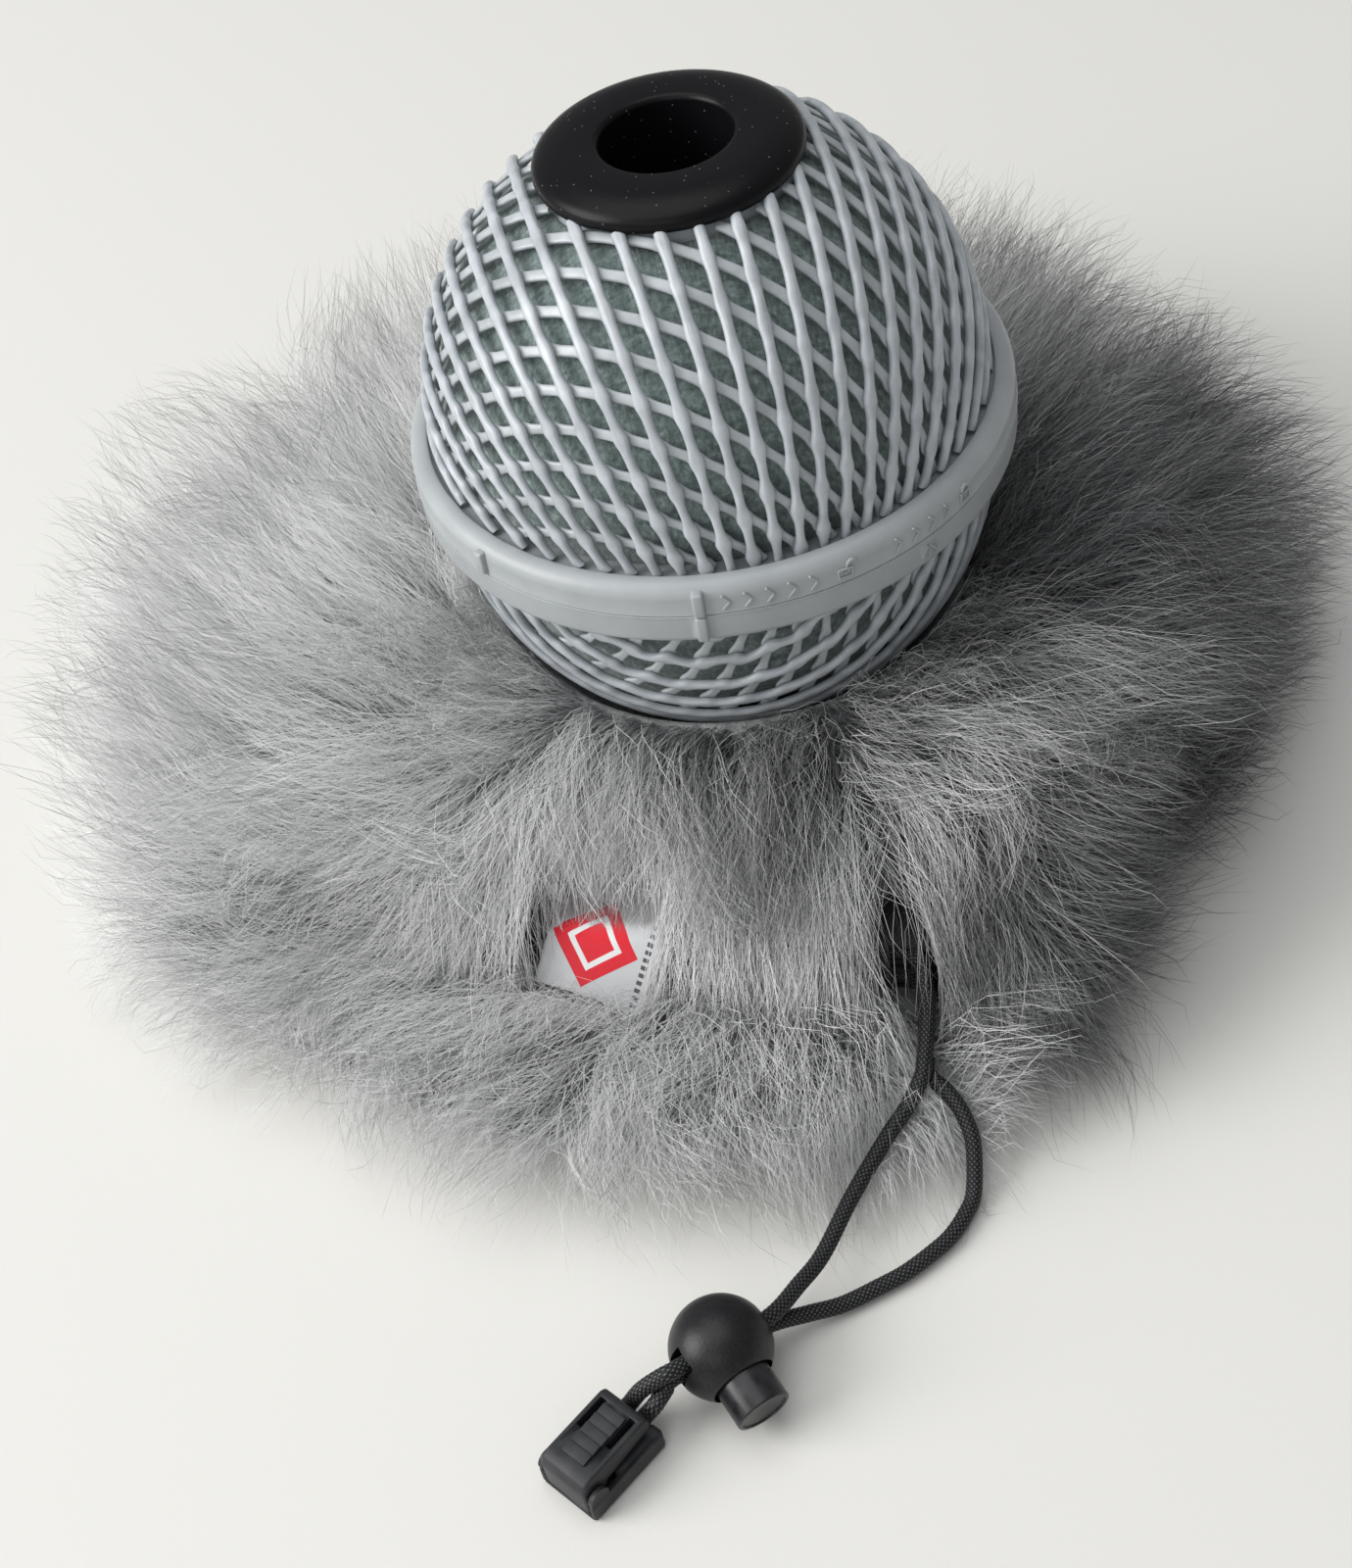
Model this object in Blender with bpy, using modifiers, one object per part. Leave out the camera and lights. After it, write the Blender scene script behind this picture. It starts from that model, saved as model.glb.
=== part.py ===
"""Furry windscreen for a microphone: a foam-lined plastic basket ball in two halves, joined by a
bayonet ring, standing on its own folded fur cover with a drawcord, a cord lock and a cord end.

Metres, +Z up. The origin is on the underside of the fur cover, below the middle of the ball.
"""
import math

import bmesh
import bpy
from mathutils import Matrix, Vector

# ---------------------------------------------------------------- driving dimensions
GAP = 0.0003              # clearance between pieces that touch

BALL_R = 0.0488           # outer radius of each basket dome
DOME_OFFSET = 0.0080      # each dome's centre lies this far from the parting plane
BALL_STAND = 0.0232       # height of the ball's lowest point
PARTING_Z = BALL_STAND + BALL_R + DOME_OFFSET      # the plane where the two halves meet
STRAND = 0.0022           # thickness of the basket's strands
NET_PITCH = 0.0123        # spacing of the strands within one family
STRAND_CROSSING = math.radians(54.8)
UPPER_STRAND_DIR = math.radians(-81.8)
LOWER_STRAND_DIR = math.radians(-8.0)
FOAM = 0.0030             # thickness of the foam liners
FOAM_GAP = 0.0013         # play between basket and foam

RING_PLAY = 0.0018         # between the basket and the ring's outer wall
RING_WALL = 0.0019         # thickness of the ring's outer wall
RING_WALL_R = BALL_R + RING_PLAY
RING_R = RING_WALL_R + RING_WALL           # outer radius of the bayonet ring
RING_TIER = 0.00585       # height of each half of the ring
RING_EDGE = 0.0010        # rounding of the ring's outer edges
SHELF_REACH = 0.0052       # how far the shelf that carries foam and basket reaches under them
SHELF_R = BALL_R - SHELF_REACH
SHELF_TOP = 0.0046        # shelf face nearest the basket, from the parting plane
SHELF = 0.0010            # thickness of the shelf
SPIGOT_PLAY = 0.0004
SPIGOT_WALL = 0.0013
SPIGOT_OUT_R = RING_WALL_R - SPIGOT_PLAY   # the lower half's spigot inside the ring
SPIGOT_IN_R = SPIGOT_OUT_R - SPIGOT_WALL
SPIGOT_H = 0.0026
LUGS = 4                  # bayonet lugs inside the upper half
LUG_FIRST = math.radians(12.0)
LUG_ANGLE = math.radians(5.0)
LUG_IN_R = SPIGOT_IN_R + 0.0001
LUG_LOW = 0.00045
LUG_H = 0.0010
TWIST = math.radians(30.0)   # unlocking turn
SLOT_PLAY = math.radians(1.0)
SEAL_T = 0.0014            # thickness of the sealing band

BUSH_SINK = 0.0018         # top of the rubber bush below the pole of a whole dome
BUSH_TOP = DOME_OFFSET + BALL_R - BUSH_SINK        # from the parting plane
BUSH_R = 0.02145
BUSH_BORE_R = 0.0108
BUSH_NECK_R = 0.0140
COLLAR_R = 0.0200
COLLAR_FLANGE_R = 0.0225
POLE_HOLE_R = 0.0218      # centre line of the strand round the top hole
BAR_W = 0.0016            # raised index bars on the ring
BAR_PROUD = 0.0004
LONG_BAR_AZ = math.radians(-97.8)
SHORT_BAR_AZ = math.radians(-141.6)

COVER_CENTRE = Vector((-0.017, 0.013))
COVER_R = 0.121           # mean radius of the folded cover
COVER_EDGE_H = 0.0045     # height of the lower panel at its edge
COVER_RISE = 0.0110       # how much the lower panel swells towards the middle
UPPER_REACH = 0.93        # upper panel's outline as a share of the lower panel's
DISH_RIM_R = BALL_R - 0.0068       # rim of the hollow that the ball stands in
UPPER_TOP_Z = PARTING_Z - DOME_OFFSET - 0.0260     # height of the upper panel round the ball
UPPER_SLOPE = 0.44        # fall of the upper panel per metre outwards
PANEL_PLAY = 0.0007       # between the two panels
DISH_PLAY = 0.0009        # between the ball and the hollow

MOUTH_AZ = math.radians(-108.1)   # the mouth faces this way
MOUTH_DIST = 0.0729       # distance of the hem's fold from the ball's axis
MOUTH_MID = 0.0075        # middle of the mouth, measured along the hem
MOUTH_LENGTH = 0.0865     # length of the hem's centre line, end to end
MOUTH_GAP = 0.0015        # how far the flattened mouth stands open
MOUTH_CORNER = 0.040      # stretch beyond each end of the mouth where the panel's edge runs out
HEM_DEPTH = 0.0120
HEM_HEIGHT = 0.0050       # outer height of the channel for the drawcord
HEM_CLOTH = 0.0008
HEM_SLOT_MID = 0.0432     # the slot where the cord leaves the hem
HEM_SLOT_W = 0.0096

LABEL_W = 0.020
LABEL_LENGTH = 0.022
LABEL_T = 0.0008
LABEL_TURN = math.radians(15.0)
LABEL_MID = -0.0095       # middle of the label along the hem
LABEL_IN = 0.0090         # how far the label lies back on the hem
LABEL_BEND_R = 0.0030
LABEL_DROOP = math.radians(50.0)

CORD_D = 0.0028
CORD_STACK = CORD_D + 0.0003       # distance of the two cords inside the lock
ROUTE_STEP = 0.0056        # spacing of the points along a cord

LOCK_R = 0.0083
LOCK_OUT = 0.031699        # from the cover's mean outline to the middle of the lock
LOCK_AZ = math.radians(-92.0642)
LOCK_POS = (COVER_CENTRE + (COVER_R + LOCK_OUT) * Vector((math.cos(LOCK_AZ), math.sin(LOCK_AZ)))).to_3d()
LOCK_POS.z = LOCK_R
LOCK_CORD_DIR = (math.radians(-151.0), math.radians(8.0))      # azimuth and rise
LOCK_BUTTON_DIR = (math.radians(-64.0), math.radians(-12.0))
LOCK_SLOT_W = 0.0044
LOCK_SLOT_H = 0.0080
LOCK_BORE_R = 0.0049
LOCK_BORE_FLOOR = 0.0057  # floor of the button's bore, below the middle of the lock
SPRING_ROOM_R = 0.0037    # narrower pocket below the bore, for the spring
SPRING_ROOM_FLOOR = 0.0068
BUTTON_R = 0.0046
BUTTON_FACE = 0.0122      # end face of the button, from the middle of the lock
BUTTON_FOOT = 0.0030      # its inner end
BUTTON_TRAVEL = 0.0024
SPRING_R = 0.0030         # coil radius of the lock's spring
SPRING_WIRE = 0.0004
SPRING_TURNS = 2.5

END_OUT = 0.045443         # from the cover's mean outline to the cord end
END_PLACE_AZ = math.radians(-98.9871)
END_POS = (COVER_CENTRE + (COVER_R + END_OUT) * Vector((math.cos(END_PLACE_AZ),
                                                       math.sin(END_PLACE_AZ)))).to_3d()
END_AZ = math.radians(43.0)
END_ENTRY = 0.0084        # cord entry face, from the middle
END_BACK = 0.0080
END_BASE_W = 0.0112
END_BASE_H = 0.0042
END_LID_W = 0.0098
END_LID_FRONT = 0.0070
END_TOP = 0.0090
END_CORD_Z = 0.0041       # height of the cords in the cord end
END_CORD_SIDE = 0.0017    # sideways place of each cord
END_CORD_STOP = -0.0020   # where the cords stop inside
HINGE_X = -0.0060         # hinge pin of the lid
HINGE_Z = 0.0046
HINGE_PIN_R = 0.0008
KNUCKLE_R = 0.0020
EAR_W = 0.0020

# ---------------------------------------------------------------- cord routes (free stretches)
CORD_A_FREE = [(0.0191, -0.0829, 0.0232), (0.0193, -0.0862, 0.0216), (0.0186, -0.0903, 0.0178),
               (0.0168, -0.0964, 0.0142), (0.0158, -0.0987, 0.0130), (0.0126, -0.1026, 0.0110),
               (0.0086, -0.1062, 0.0088), (0.0015, -0.1149, 0.0068), (-0.0047, -0.1241, 0.0056),
               (-0.0092, -0.1298, 0.0069)]
CORD_B_FREE = [(0.0191, -0.0829, 0.0166), (0.0189, -0.0860, 0.0152), (0.0182, -0.0893, 0.0128),
               (0.0174, -0.0959, 0.0104), (0.0192, -0.0986, 0.0098), (0.0208, -0.1015, 0.0090),
               (0.0219, -0.1046, 0.0080), (0.0224, -0.1085, 0.0062), (0.0211, -0.1150, 0.0024),
               (0.0190, -0.1186, 0.0017), (0.0159, -0.1222, 0.0016), (0.0123, -0.1248, 0.0016),
               (0.0079, -0.1274, 0.0016), (0.0037, -0.1291, 0.0016), (-0.0029, -0.1315, 0.0018),
               (-0.0084, -0.1330, 0.0032)]

# from the lock to the cord end
CORD_A_TAIL = [(-0.0335, -0.1424, 0.0108), (-0.0368, -0.1427, 0.0070)]
CORD_B_TAIL = [(-0.0322, -0.1451, 0.0061), (-0.0344, -0.1462, 0.0047)]

# ---------------------------------------------------------------- values worked out from these
NET_MID_R = BALL_R - STRAND / 2
FOAM_OUT_R = BALL_R - STRAND - FOAM_GAP
FOAM_IN_R = FOAM_OUT_R - FOAM
REST_Z = SHELF_TOP + GAP                     # foam and basket start here, from the parting plane
BALL_LOW_CENTRE = PARTING_Z - DOME_OFFSET
MOUTH_OUT = Vector((math.cos(MOUTH_AZ), math.sin(MOUTH_AZ), 0.0))
MOUTH_ALONG = Vector((-math.sin(MOUTH_AZ), math.cos(MOUTH_AZ), 0.0))
HEM_LOOP_R = (HEM_HEIGHT + MOUTH_GAP) / 2


# ---------------------------------------------------------------- general helpers
def clear_scene():
    for obj in list(bpy.data.objects):
        bpy.data.objects.remove(obj)


def collection(name):
    made = bpy.data.collections.new(name)
    bpy.context.scene.collection.children.link(made)
    return made


def material(name, colour, roughness, metallic=0.0):
    made = bpy.data.materials.new(name)
    made.use_nodes = True
    shader = made.node_tree.nodes["Principled BSDF"]
    shader.inputs["Base Color"].default_value = (*colour, 1.0)
    shader.inputs["Roughness"].default_value = roughness
    shader.inputs["Metallic"].default_value = metallic
    return made


def add_object(name, data, where, mat=None):
    obj = bpy.data.objects.new(name, data)
    where.objects.link(obj)
    if mat:
        data.materials.append(mat)
    return obj


def mesh_from(bm, name, smooth_angle=None):
    mesh = bpy.data.meshes.new(name)
    bm.normal_update()
    bm.to_mesh(mesh)
    bm.free()
    if smooth_angle is not None:
        mesh.shade_smooth()
        mesh.set_sharp_from_angle(angle=math.radians(smooth_angle))
    return mesh


def cutter(name, mesh, place=None):
    obj = add_object(name, mesh, CUTTERS)
    obj.hide_render = True
    obj.display_type = 'WIRE'
    if place:
        obj.matrix_world = place
    return obj


def boolean(obj, other, operation='DIFFERENCE'):
    mod = obj.modifiers.new(f"{operation.lower()}_{other.name}", 'BOOLEAN')
    mod.operation = operation
    mod.solver = 'EXACT'
    mod.object = other
    return mod


def turned(name, profile, steps, mat, z=0.0):
    """A profile of (radius, height) points turned about Z. It runs down the outer side."""
    bm = bmesh.new()
    verts = [bm.verts.new((r, 0.0, h)) for r, h in profile]
    closed = profile[0][0] > 0.0
    for a, b in zip(verts, verts[1:] + verts[:1] if closed else verts[1:]):
        bm.edges.new((a, b))
    obj = add_object(name, mesh_from(bm, name), PARTS, mat)
    obj.location.z = z
    screw = obj.modifiers.new("turn", 'SCREW')
    screw.steps = steps
    screw.render_steps = steps
    screw.use_merge_vertices = True
    screw.merge_threshold = 0.00001
    screw.use_smooth_shade = True
    return obj


def box_mesh(name, low, high, bevel=0.0, segments=2):
    bm = bmesh.new()
    size = Vector(high) - Vector(low)
    centre = (Vector(high) + Vector(low)) / 2
    place = Matrix.Translation(centre) @ Matrix.Diagonal((*size, 1.0))
    bmesh.ops.create_cube(bm, size=1.0, matrix=place)
    if bevel:
        bmesh.ops.bevel(bm, geom=bm.edges[:], offset=bevel, segments=segments, profile=0.5,
                        affect='EDGES', material=-1)
    return mesh_from(bm, name, 30.0)


def rod_mesh(name, radius, start, end, segments=24):
    """A straight round rod from start to end."""
    bm = bmesh.new()
    start, end = Vector(start), Vector(end)
    turn = (end - start).to_track_quat('Z', 'Y').to_matrix().to_4x4()
    bmesh.ops.create_cone(bm, cap_ends=True, segments=segments, radius1=radius, radius2=radius,
                          depth=(end - start).length, matrix=Matrix.Translation((start + end) / 2) @ turn)
    return mesh_from(bm, name, 30.0)


def sector_mesh(name, inner, outer, low, high, sectors, steps):
    """Blocks between two radii and two heights, each over one (start, end) pair of angles."""
    bm = bmesh.new()
    for first, last in sectors:
        corners = [(inner, low), (outer, low), (outer, high), (inner, high)]
        turn = Matrix.Rotation(first, 4, 'Z')
        verts = [bm.verts.new(turn @ Vector((r, 0.0, h))) for r, h in corners]
        edges = [bm.edges.new(pair) for pair in zip(verts, verts[1:] + verts[:1])]
        bmesh.ops.spin(bm, geom=verts + edges, cent=(0, 0, 0), axis=(0, 0, 1), angle=last - first,
                       steps=steps, use_merge=False, use_duplicate=False)
    bmesh.ops.holes_fill(bm, edges=[e for e in bm.edges if e.is_boundary], sides=4)
    bmesh.ops.recalc_face_normals(bm, faces=bm.faces[:])
    return mesh_from(bm, name)


def smooth_route(points, spacing):
    """Points every `spacing` along a Catmull-Rom curve through the given points."""
    pts = [Vector(p) for p in points]
    pts = [2 * pts[0] - pts[1]] + pts + [2 * pts[-1] - pts[-2]]
    fine = []
    for a, b, c, d in zip(pts, pts[1:], pts[2:], pts[3:]):
        for k in range(16):
            t = k / 16
            fine.append(0.5 * (2 * b + (c - a) * t + (2 * a - 5 * b + 4 * c - d) * t ** 2
                               + (3 * b - a - 3 * c + d) * t ** 3))
    fine.append(pts[-2])
    lengths = [0.0]
    for a, b in zip(fine, fine[1:]):
        lengths.append(lengths[-1] + (b - a).length)
    count = max(2, round(lengths[-1] / spacing))
    route = []
    for k in range(count + 1):
        target = lengths[-1] * k / count
        i = min(len(fine) - 2, next(j for j, s in enumerate(lengths[1:]) if s >= target - 1e-9))
        share = (target - lengths[i]) / (lengths[i + 1] - lengths[i])
        route.append(fine[i].lerp(fine[i + 1], share))
    return route


def tube(name, route, diameter, mat, sides_level=2):
    """A round cord or wire along a list of points, with closed ends."""
    curve = bpy.data.curves.new(name, 'CURVE')
    curve.dimensions = '3D'
    curve.bevel_depth = diameter / 2
    curve.bevel_resolution = sides_level
    curve.use_fill_caps = True
    spline = curve.splines.new('POLY')
    spline.points.add(len(route) - 1)
    for point, co in zip(spline.points, route):
        point.co = (*co, 1.0)
    return add_object(name, curve, PARTS, mat)


# ---------------------------------------------------------------- the ball: baskets and liners
def lattice(strand_dir, inner_r):
    """Flat diamond lattice of the basket, trimmed to a disc or a ring."""
    reach = NET_MID_R * math.pi / 2 + DOME_OFFSET - REST_Z - STRAND / 2
    other_dir = strand_dir + STRAND_CROSSING
    side = NET_PITCH / math.sin(STRAND_CROSSING)
    along = side * Vector((math.cos(strand_dir), math.sin(strand_dir)))
    across = side * Vector((math.cos(other_dir), math.sin(other_dir)))
    cells = 2 * math.ceil(reach / NET_PITCH) + 2
    bm = bmesh.new()
    bmesh.ops.create_grid(bm, x_segments=cells, y_segments=cells, size=cells / 2)
    for v in bm.verts:
        v.co.xy = (v.co.x + 0.5) * along + (v.co.y + 0.5) * across
    hole = NET_MID_R * math.asin(inner_r / NET_MID_R)
    outside = [f for f in bm.faces if min(v.co.xy.length for v in f.verts) > reach - 0.2 * NET_PITCH]
    inside = [f for f in bm.faces if f.calc_center_median().xy.length < hole]
    bmesh.ops.delete(bm, geom=outside + inside, context='FACES')
    pull_to_rims(bm, hole, reach)
    bmesh.ops.remove_doubles(bm, verts=bm.verts[:], dist=STRAND * 1.4)
    rim_edges = [e for e in bm.edges if e.is_boundary and e.calc_length() > 0.5 * NET_PITCH]
    bmesh.ops.subdivide_edges(bm, edges=rim_edges, cuts=2)
    pull_to_rims(bm, hole, reach)
    return bm


def pull_to_rims(bm, hole, reach):
    for v in bm.verts:
        distance = v.co.xy.length
        if distance > reach or (v.is_boundary and distance > reach / 2):
            v.co.xy *= reach / distance
        elif distance < hole or v.is_boundary:
            v.co.xy *= hole / max(distance, 1e-9)


def basket_net(name, strand_dir, inner_r, side):
    """The lattice laid over a dome: flat distance becomes distance along the dome."""
    bm = lattice(strand_dir, inner_r)
    quarter = NET_MID_R * math.pi / 2
    for v in bm.verts:
        flat = v.co.xy.length
        heading = v.co.xy.normalized() if flat > 1e-9 else Vector((1.0, 0.0))
        angle = min(flat / NET_MID_R, math.pi / 2)
        height = DOME_OFFSET + NET_MID_R * math.cos(angle) - max(0.0, flat - quarter)
        v.co = (*(heading * NET_MID_R * math.sin(angle)), side * height)
    bmesh.ops.recalc_face_normals(bm, faces=bm.faces[:])
    obj = add_object(name, mesh_from(bm, name), PARTS, BASKET_PLASTIC)
    obj.location.z = PARTING_Z
    wire = obj.modifiers.new("strands", 'WIREFRAME')
    wire.thickness = STRAND
    wire.use_even_offset = False
    wire.use_boundary = True
    return obj


def dome_arc(radius, first, last, count):
    """Points (r, height above the parting plane) on a dome, by angle from the pole."""
    angles = [first + (last - first) * k / (count - 1) for k in range(count)]
    return [(radius * math.sin(a), DOME_OFFSET + radius * math.cos(a)) for a in angles]


def foam_liner(name, hole_r, side):
    equator = math.pi / 2
    start = math.asin(hole_r / FOAM_OUT_R) if hole_r else 0.0
    start_in = math.asin(hole_r / FOAM_IN_R) if hole_r else 0.0
    outer = dome_arc(FOAM_OUT_R, start, equator, 8) + [(FOAM_OUT_R, REST_Z)]
    inner = [(FOAM_IN_R, REST_Z)] + dome_arc(FOAM_IN_R, equator, start_in, 7)
    profile = outer + inner
    if side < 0:
        profile = [(r, -h) for r, h in reversed(profile)]
    if not hole_r:
        profile[0] = (0.0, profile[0][1])
        profile[-1] = (0.0, profile[-1][1])
    return turned(name, profile, 36, FOAM_FELT, PARTING_Z)


# ---------------------------------------------------------------- the bayonet ring
def lug_angles():
    return [LUG_FIRST + k * 2 * math.pi / LUGS for k in range(LUGS)]


def index_bar(name, azimuth, low, high):
    mesh = box_mesh(name, (RING_R - 0.0008, -BAR_W / 2, low), (RING_R + BAR_PROUD, BAR_W / 2, high))
    place = Matrix.Translation((0, 0, PARTING_Z)) @ Matrix.Rotation(azimuth, 4, 'Z')
    return cutter(name, mesh, place)


def upper_ring():
    profile = [(RING_R, RING_TIER - RING_EDGE), (RING_R, GAP / 2), (RING_WALL_R, GAP / 2),
               (RING_WALL_R, SHELF_TOP - SHELF), (SHELF_R, SHELF_TOP - SHELF), (SHELF_R, SHELF_TOP),
               (RING_WALL_R, SHELF_TOP), (RING_WALL_R, RING_TIER), (RING_R - RING_EDGE, RING_TIER)]
    ring = turned("upper_ring", profile, 48, RING_PLASTIC, PARTING_Z)
    half = LUG_ANGLE / 2
    lugs = sector_mesh("lugs", LUG_IN_R, RING_WALL_R + 0.0006, LUG_LOW, LUG_LOW + LUG_H,
                       [(a - half, a + half) for a in lug_angles()], 2)
    boolean(ring, cutter("lugs", lugs, Matrix.Translation((0, 0, PARTING_Z))), 'UNION')
    bar_low = 0.0007
    boolean(ring, index_bar("long_bar_up", LONG_BAR_AZ, bar_low, RING_TIER - RING_EDGE / 2), 'UNION')
    boolean(ring, index_bar("short_bar", SHORT_BAR_AZ, bar_low, RING_TIER - RING_EDGE), 'UNION')
    return ring


def lower_ring():
    profile = [(SPIGOT_OUT_R, SPIGOT_H), (SPIGOT_OUT_R, -GAP / 2), (RING_R, -GAP / 2),
               (RING_R, -RING_TIER + RING_EDGE), (RING_R - RING_EDGE, -RING_TIER),
               (RING_WALL_R, -RING_TIER), (RING_WALL_R, -SHELF_TOP), (SHELF_R, -SHELF_TOP),
               (SHELF_R, -SHELF_TOP + SHELF), (SPIGOT_IN_R, -SHELF_TOP + SHELF),
               (SPIGOT_IN_R, SPIGOT_H)]
    ring = turned("lower_ring", profile, 48, RING_PLASTIC, PARTING_Z)
    half = LUG_ANGLE / 2 + SLOT_PLAY
    place = Matrix.Translation((0, 0, PARTING_Z))
    run_low = LUG_LOW - GAP
    runs = sector_mesh("runs", SPIGOT_IN_R - 0.0004, SPIGOT_OUT_R + 0.0004, run_low,
                       LUG_LOW + LUG_H + GAP, [(a - half, a + TWIST + half) for a in lug_angles()], 10)
    entries = sector_mesh("entries", SPIGOT_IN_R - 0.0005, SPIGOT_OUT_R + 0.0005, run_low + 0.0001,
                          SPIGOT_H + 0.001,
                          [(a + TWIST - half, a + TWIST + half) for a in lug_angles()], 2)
    boolean(ring, cutter("runs", runs, place))
    boolean(ring, cutter("entries", entries, place))
    boolean(ring, index_bar("long_bar_down", LONG_BAR_AZ, -RING_TIER + RING_EDGE / 2, -0.0007), 'UNION')
    return ring


def ring_seal():
    """A band inside the spigot, between the two shelves, that keeps wind out of the joint."""
    outer = SPIGOT_IN_R - GAP
    half = SHELF_TOP - SHELF - GAP
    profile = [(outer, half), (outer, -half), (outer - SEAL_T, -half), (outer - SEAL_T, half)]
    return turned("ring_seal", profile, 48, SEAL_RUBBER, PARTING_Z)


# ---------------------------------------------------------------- the bush that grips the microphone
def bush_collar():
    """Plastic collar moulded into the basket's top hole: a tube with a flange below the strands."""
    top = BUSH_TOP - 0.0035
    flange_top = BUSH_TOP - 0.0070
    flange_low = flange_top - 0.0010
    neck = BUSH_NECK_R + GAP
    profile = [(COLLAR_R, top), (COLLAR_R, flange_top + 0.0006), (COLLAR_FLANGE_R, flange_top),
               (COLLAR_FLANGE_R, flange_low), (neck, flange_low), (neck, top)]
    return turned("bush_collar", profile, 36, BASKET_PLASTIC, PARTING_Z)


def rubber_bush():
    """Soft bush snapped into the collar, with a skirt that reaches into the ball."""
    seat = BUSH_TOP - 0.0035 + GAP
    snap = BUSH_TOP - 0.0080 - GAP
    skirt_low = BUSH_TOP - 0.0190
    shoulder = 0.0023
    rim = [(BUSH_R - shoulder + shoulder * math.sin(a), BUSH_TOP - shoulder + shoulder * math.cos(a))
           for a in (0.0, math.radians(30), math.radians(60), math.radians(90))]
    profile = [(BUSH_BORE_R + 0.0008, BUSH_TOP), *rim, (BUSH_R - 0.0002, BUSH_TOP - 0.0027),
               (COLLAR_R + 0.0003, BUSH_TOP - 0.0024), (COLLAR_R, seat), (BUSH_NECK_R, seat),
               (BUSH_NECK_R, snap), (BUSH_NECK_R + 0.0035, snap), (BUSH_NECK_R + 0.0035, snap - 0.0015),
               (BUSH_BORE_R + 0.0026, snap - 0.0022), (BUSH_BORE_R + 0.0018, skirt_low),
               (BUSH_BORE_R, skirt_low), (BUSH_BORE_R, BUSH_TOP - 0.0016)]
    return turned("rubber_bush", profile, 36, BUSH_RUBBER, PARTING_Z)


# ---------------------------------------------------------------- the folded fur cover
def cover_radius(angle):
    """Outline of the cover, as a radius about its own middle."""
    waves = 0.022 * math.sin(3 * angle + 0.6) + 0.022 * math.sin(5 * angle + 2.2)
    return COVER_R * (1 + waves + 0.012 * math.sin(9 * angle))


def cover_reach(angle):
    """Outline of the cover, as a distance from the ball's axis in one direction."""
    heading = Vector((math.cos(angle), math.sin(angle)))
    near, far = 0.5 * COVER_R, 2.0 * COVER_R
    for _ in range(40):
        middle = (near + far) / 2
        offset = middle * heading - COVER_CENTRE
        inside = offset.length < cover_radius(math.atan2(offset.y, offset.x))
        near, far = (middle, far) if inside else (near, middle)
    return near


def lower_panel_top(share):
    """Top of the lower panel, `share` of the way from the ball's axis to the outline."""
    return COVER_EDGE_H + COVER_RISE * (1 - share ** 3)


def upper_reach(angle):
    """Outline of the upper panel: cut back behind the hem where the mouth is."""
    full = UPPER_REACH * cover_reach(angle)
    facing = math.cos(angle - MOUTH_AZ)
    if facing < 0.3:
        return full
    edge = (MOUTH_DIST - HEM_DEPTH - GAP) / facing
    past_end = abs(edge * math.sin(angle - MOUTH_AZ) - MOUTH_MID) - MOUTH_LENGTH / 2 - HEM_HEIGHT
    share = min(1.0, max(0.0, past_end / MOUTH_CORNER))
    return min(full, edge) + (full - min(full, edge)) * share * share * (3 - 2 * share)


def spun_panel(name, section, place, mat):
    """A section of (share, level) points spun once round, then each vertex put in its place."""
    steps = 60
    bm = bmesh.new()
    verts = [bm.verts.new((share, 0.0, level)) for share, level in section]
    edges = [bm.edges.new(pair) for pair in zip(verts, verts[1:])]
    bmesh.ops.spin(bm, geom=verts + edges, cent=(0, 0, 0), axis=(0, 0, 1), angle=2 * math.pi,
                   steps=steps, use_merge=True, use_duplicate=False)
    bmesh.ops.remove_doubles(bm, verts=bm.verts[:], dist=1e-5)
    for v in bm.verts:
        v.co = place(v.co.xy.length, math.atan2(v.co.y, v.co.x), v.co.z)
    bmesh.ops.recalc_face_normals(bm, faces=bm.faces[:])
    return add_object(name, mesh_from(bm, name, 50.0), PARTS, mat)


def fur_panel_lower():
    shares = [0.0, 0.3, 0.5, 0.65, 0.75, 0.83, 0.9, 0.96, 0.99]
    section = [(s, 1.0) for s in shares] + [(1.0, 0.5), (0.985, 0.0), (0.5, 0.0), (0.0, 0.0)]

    def place(share, angle, level):
        reach = share * cover_reach(angle)
        return (reach * math.cos(angle), reach * math.sin(angle), level * lower_panel_top(share))

    return spun_panel("fur_panel_lower", section, place, FUR)


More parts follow.
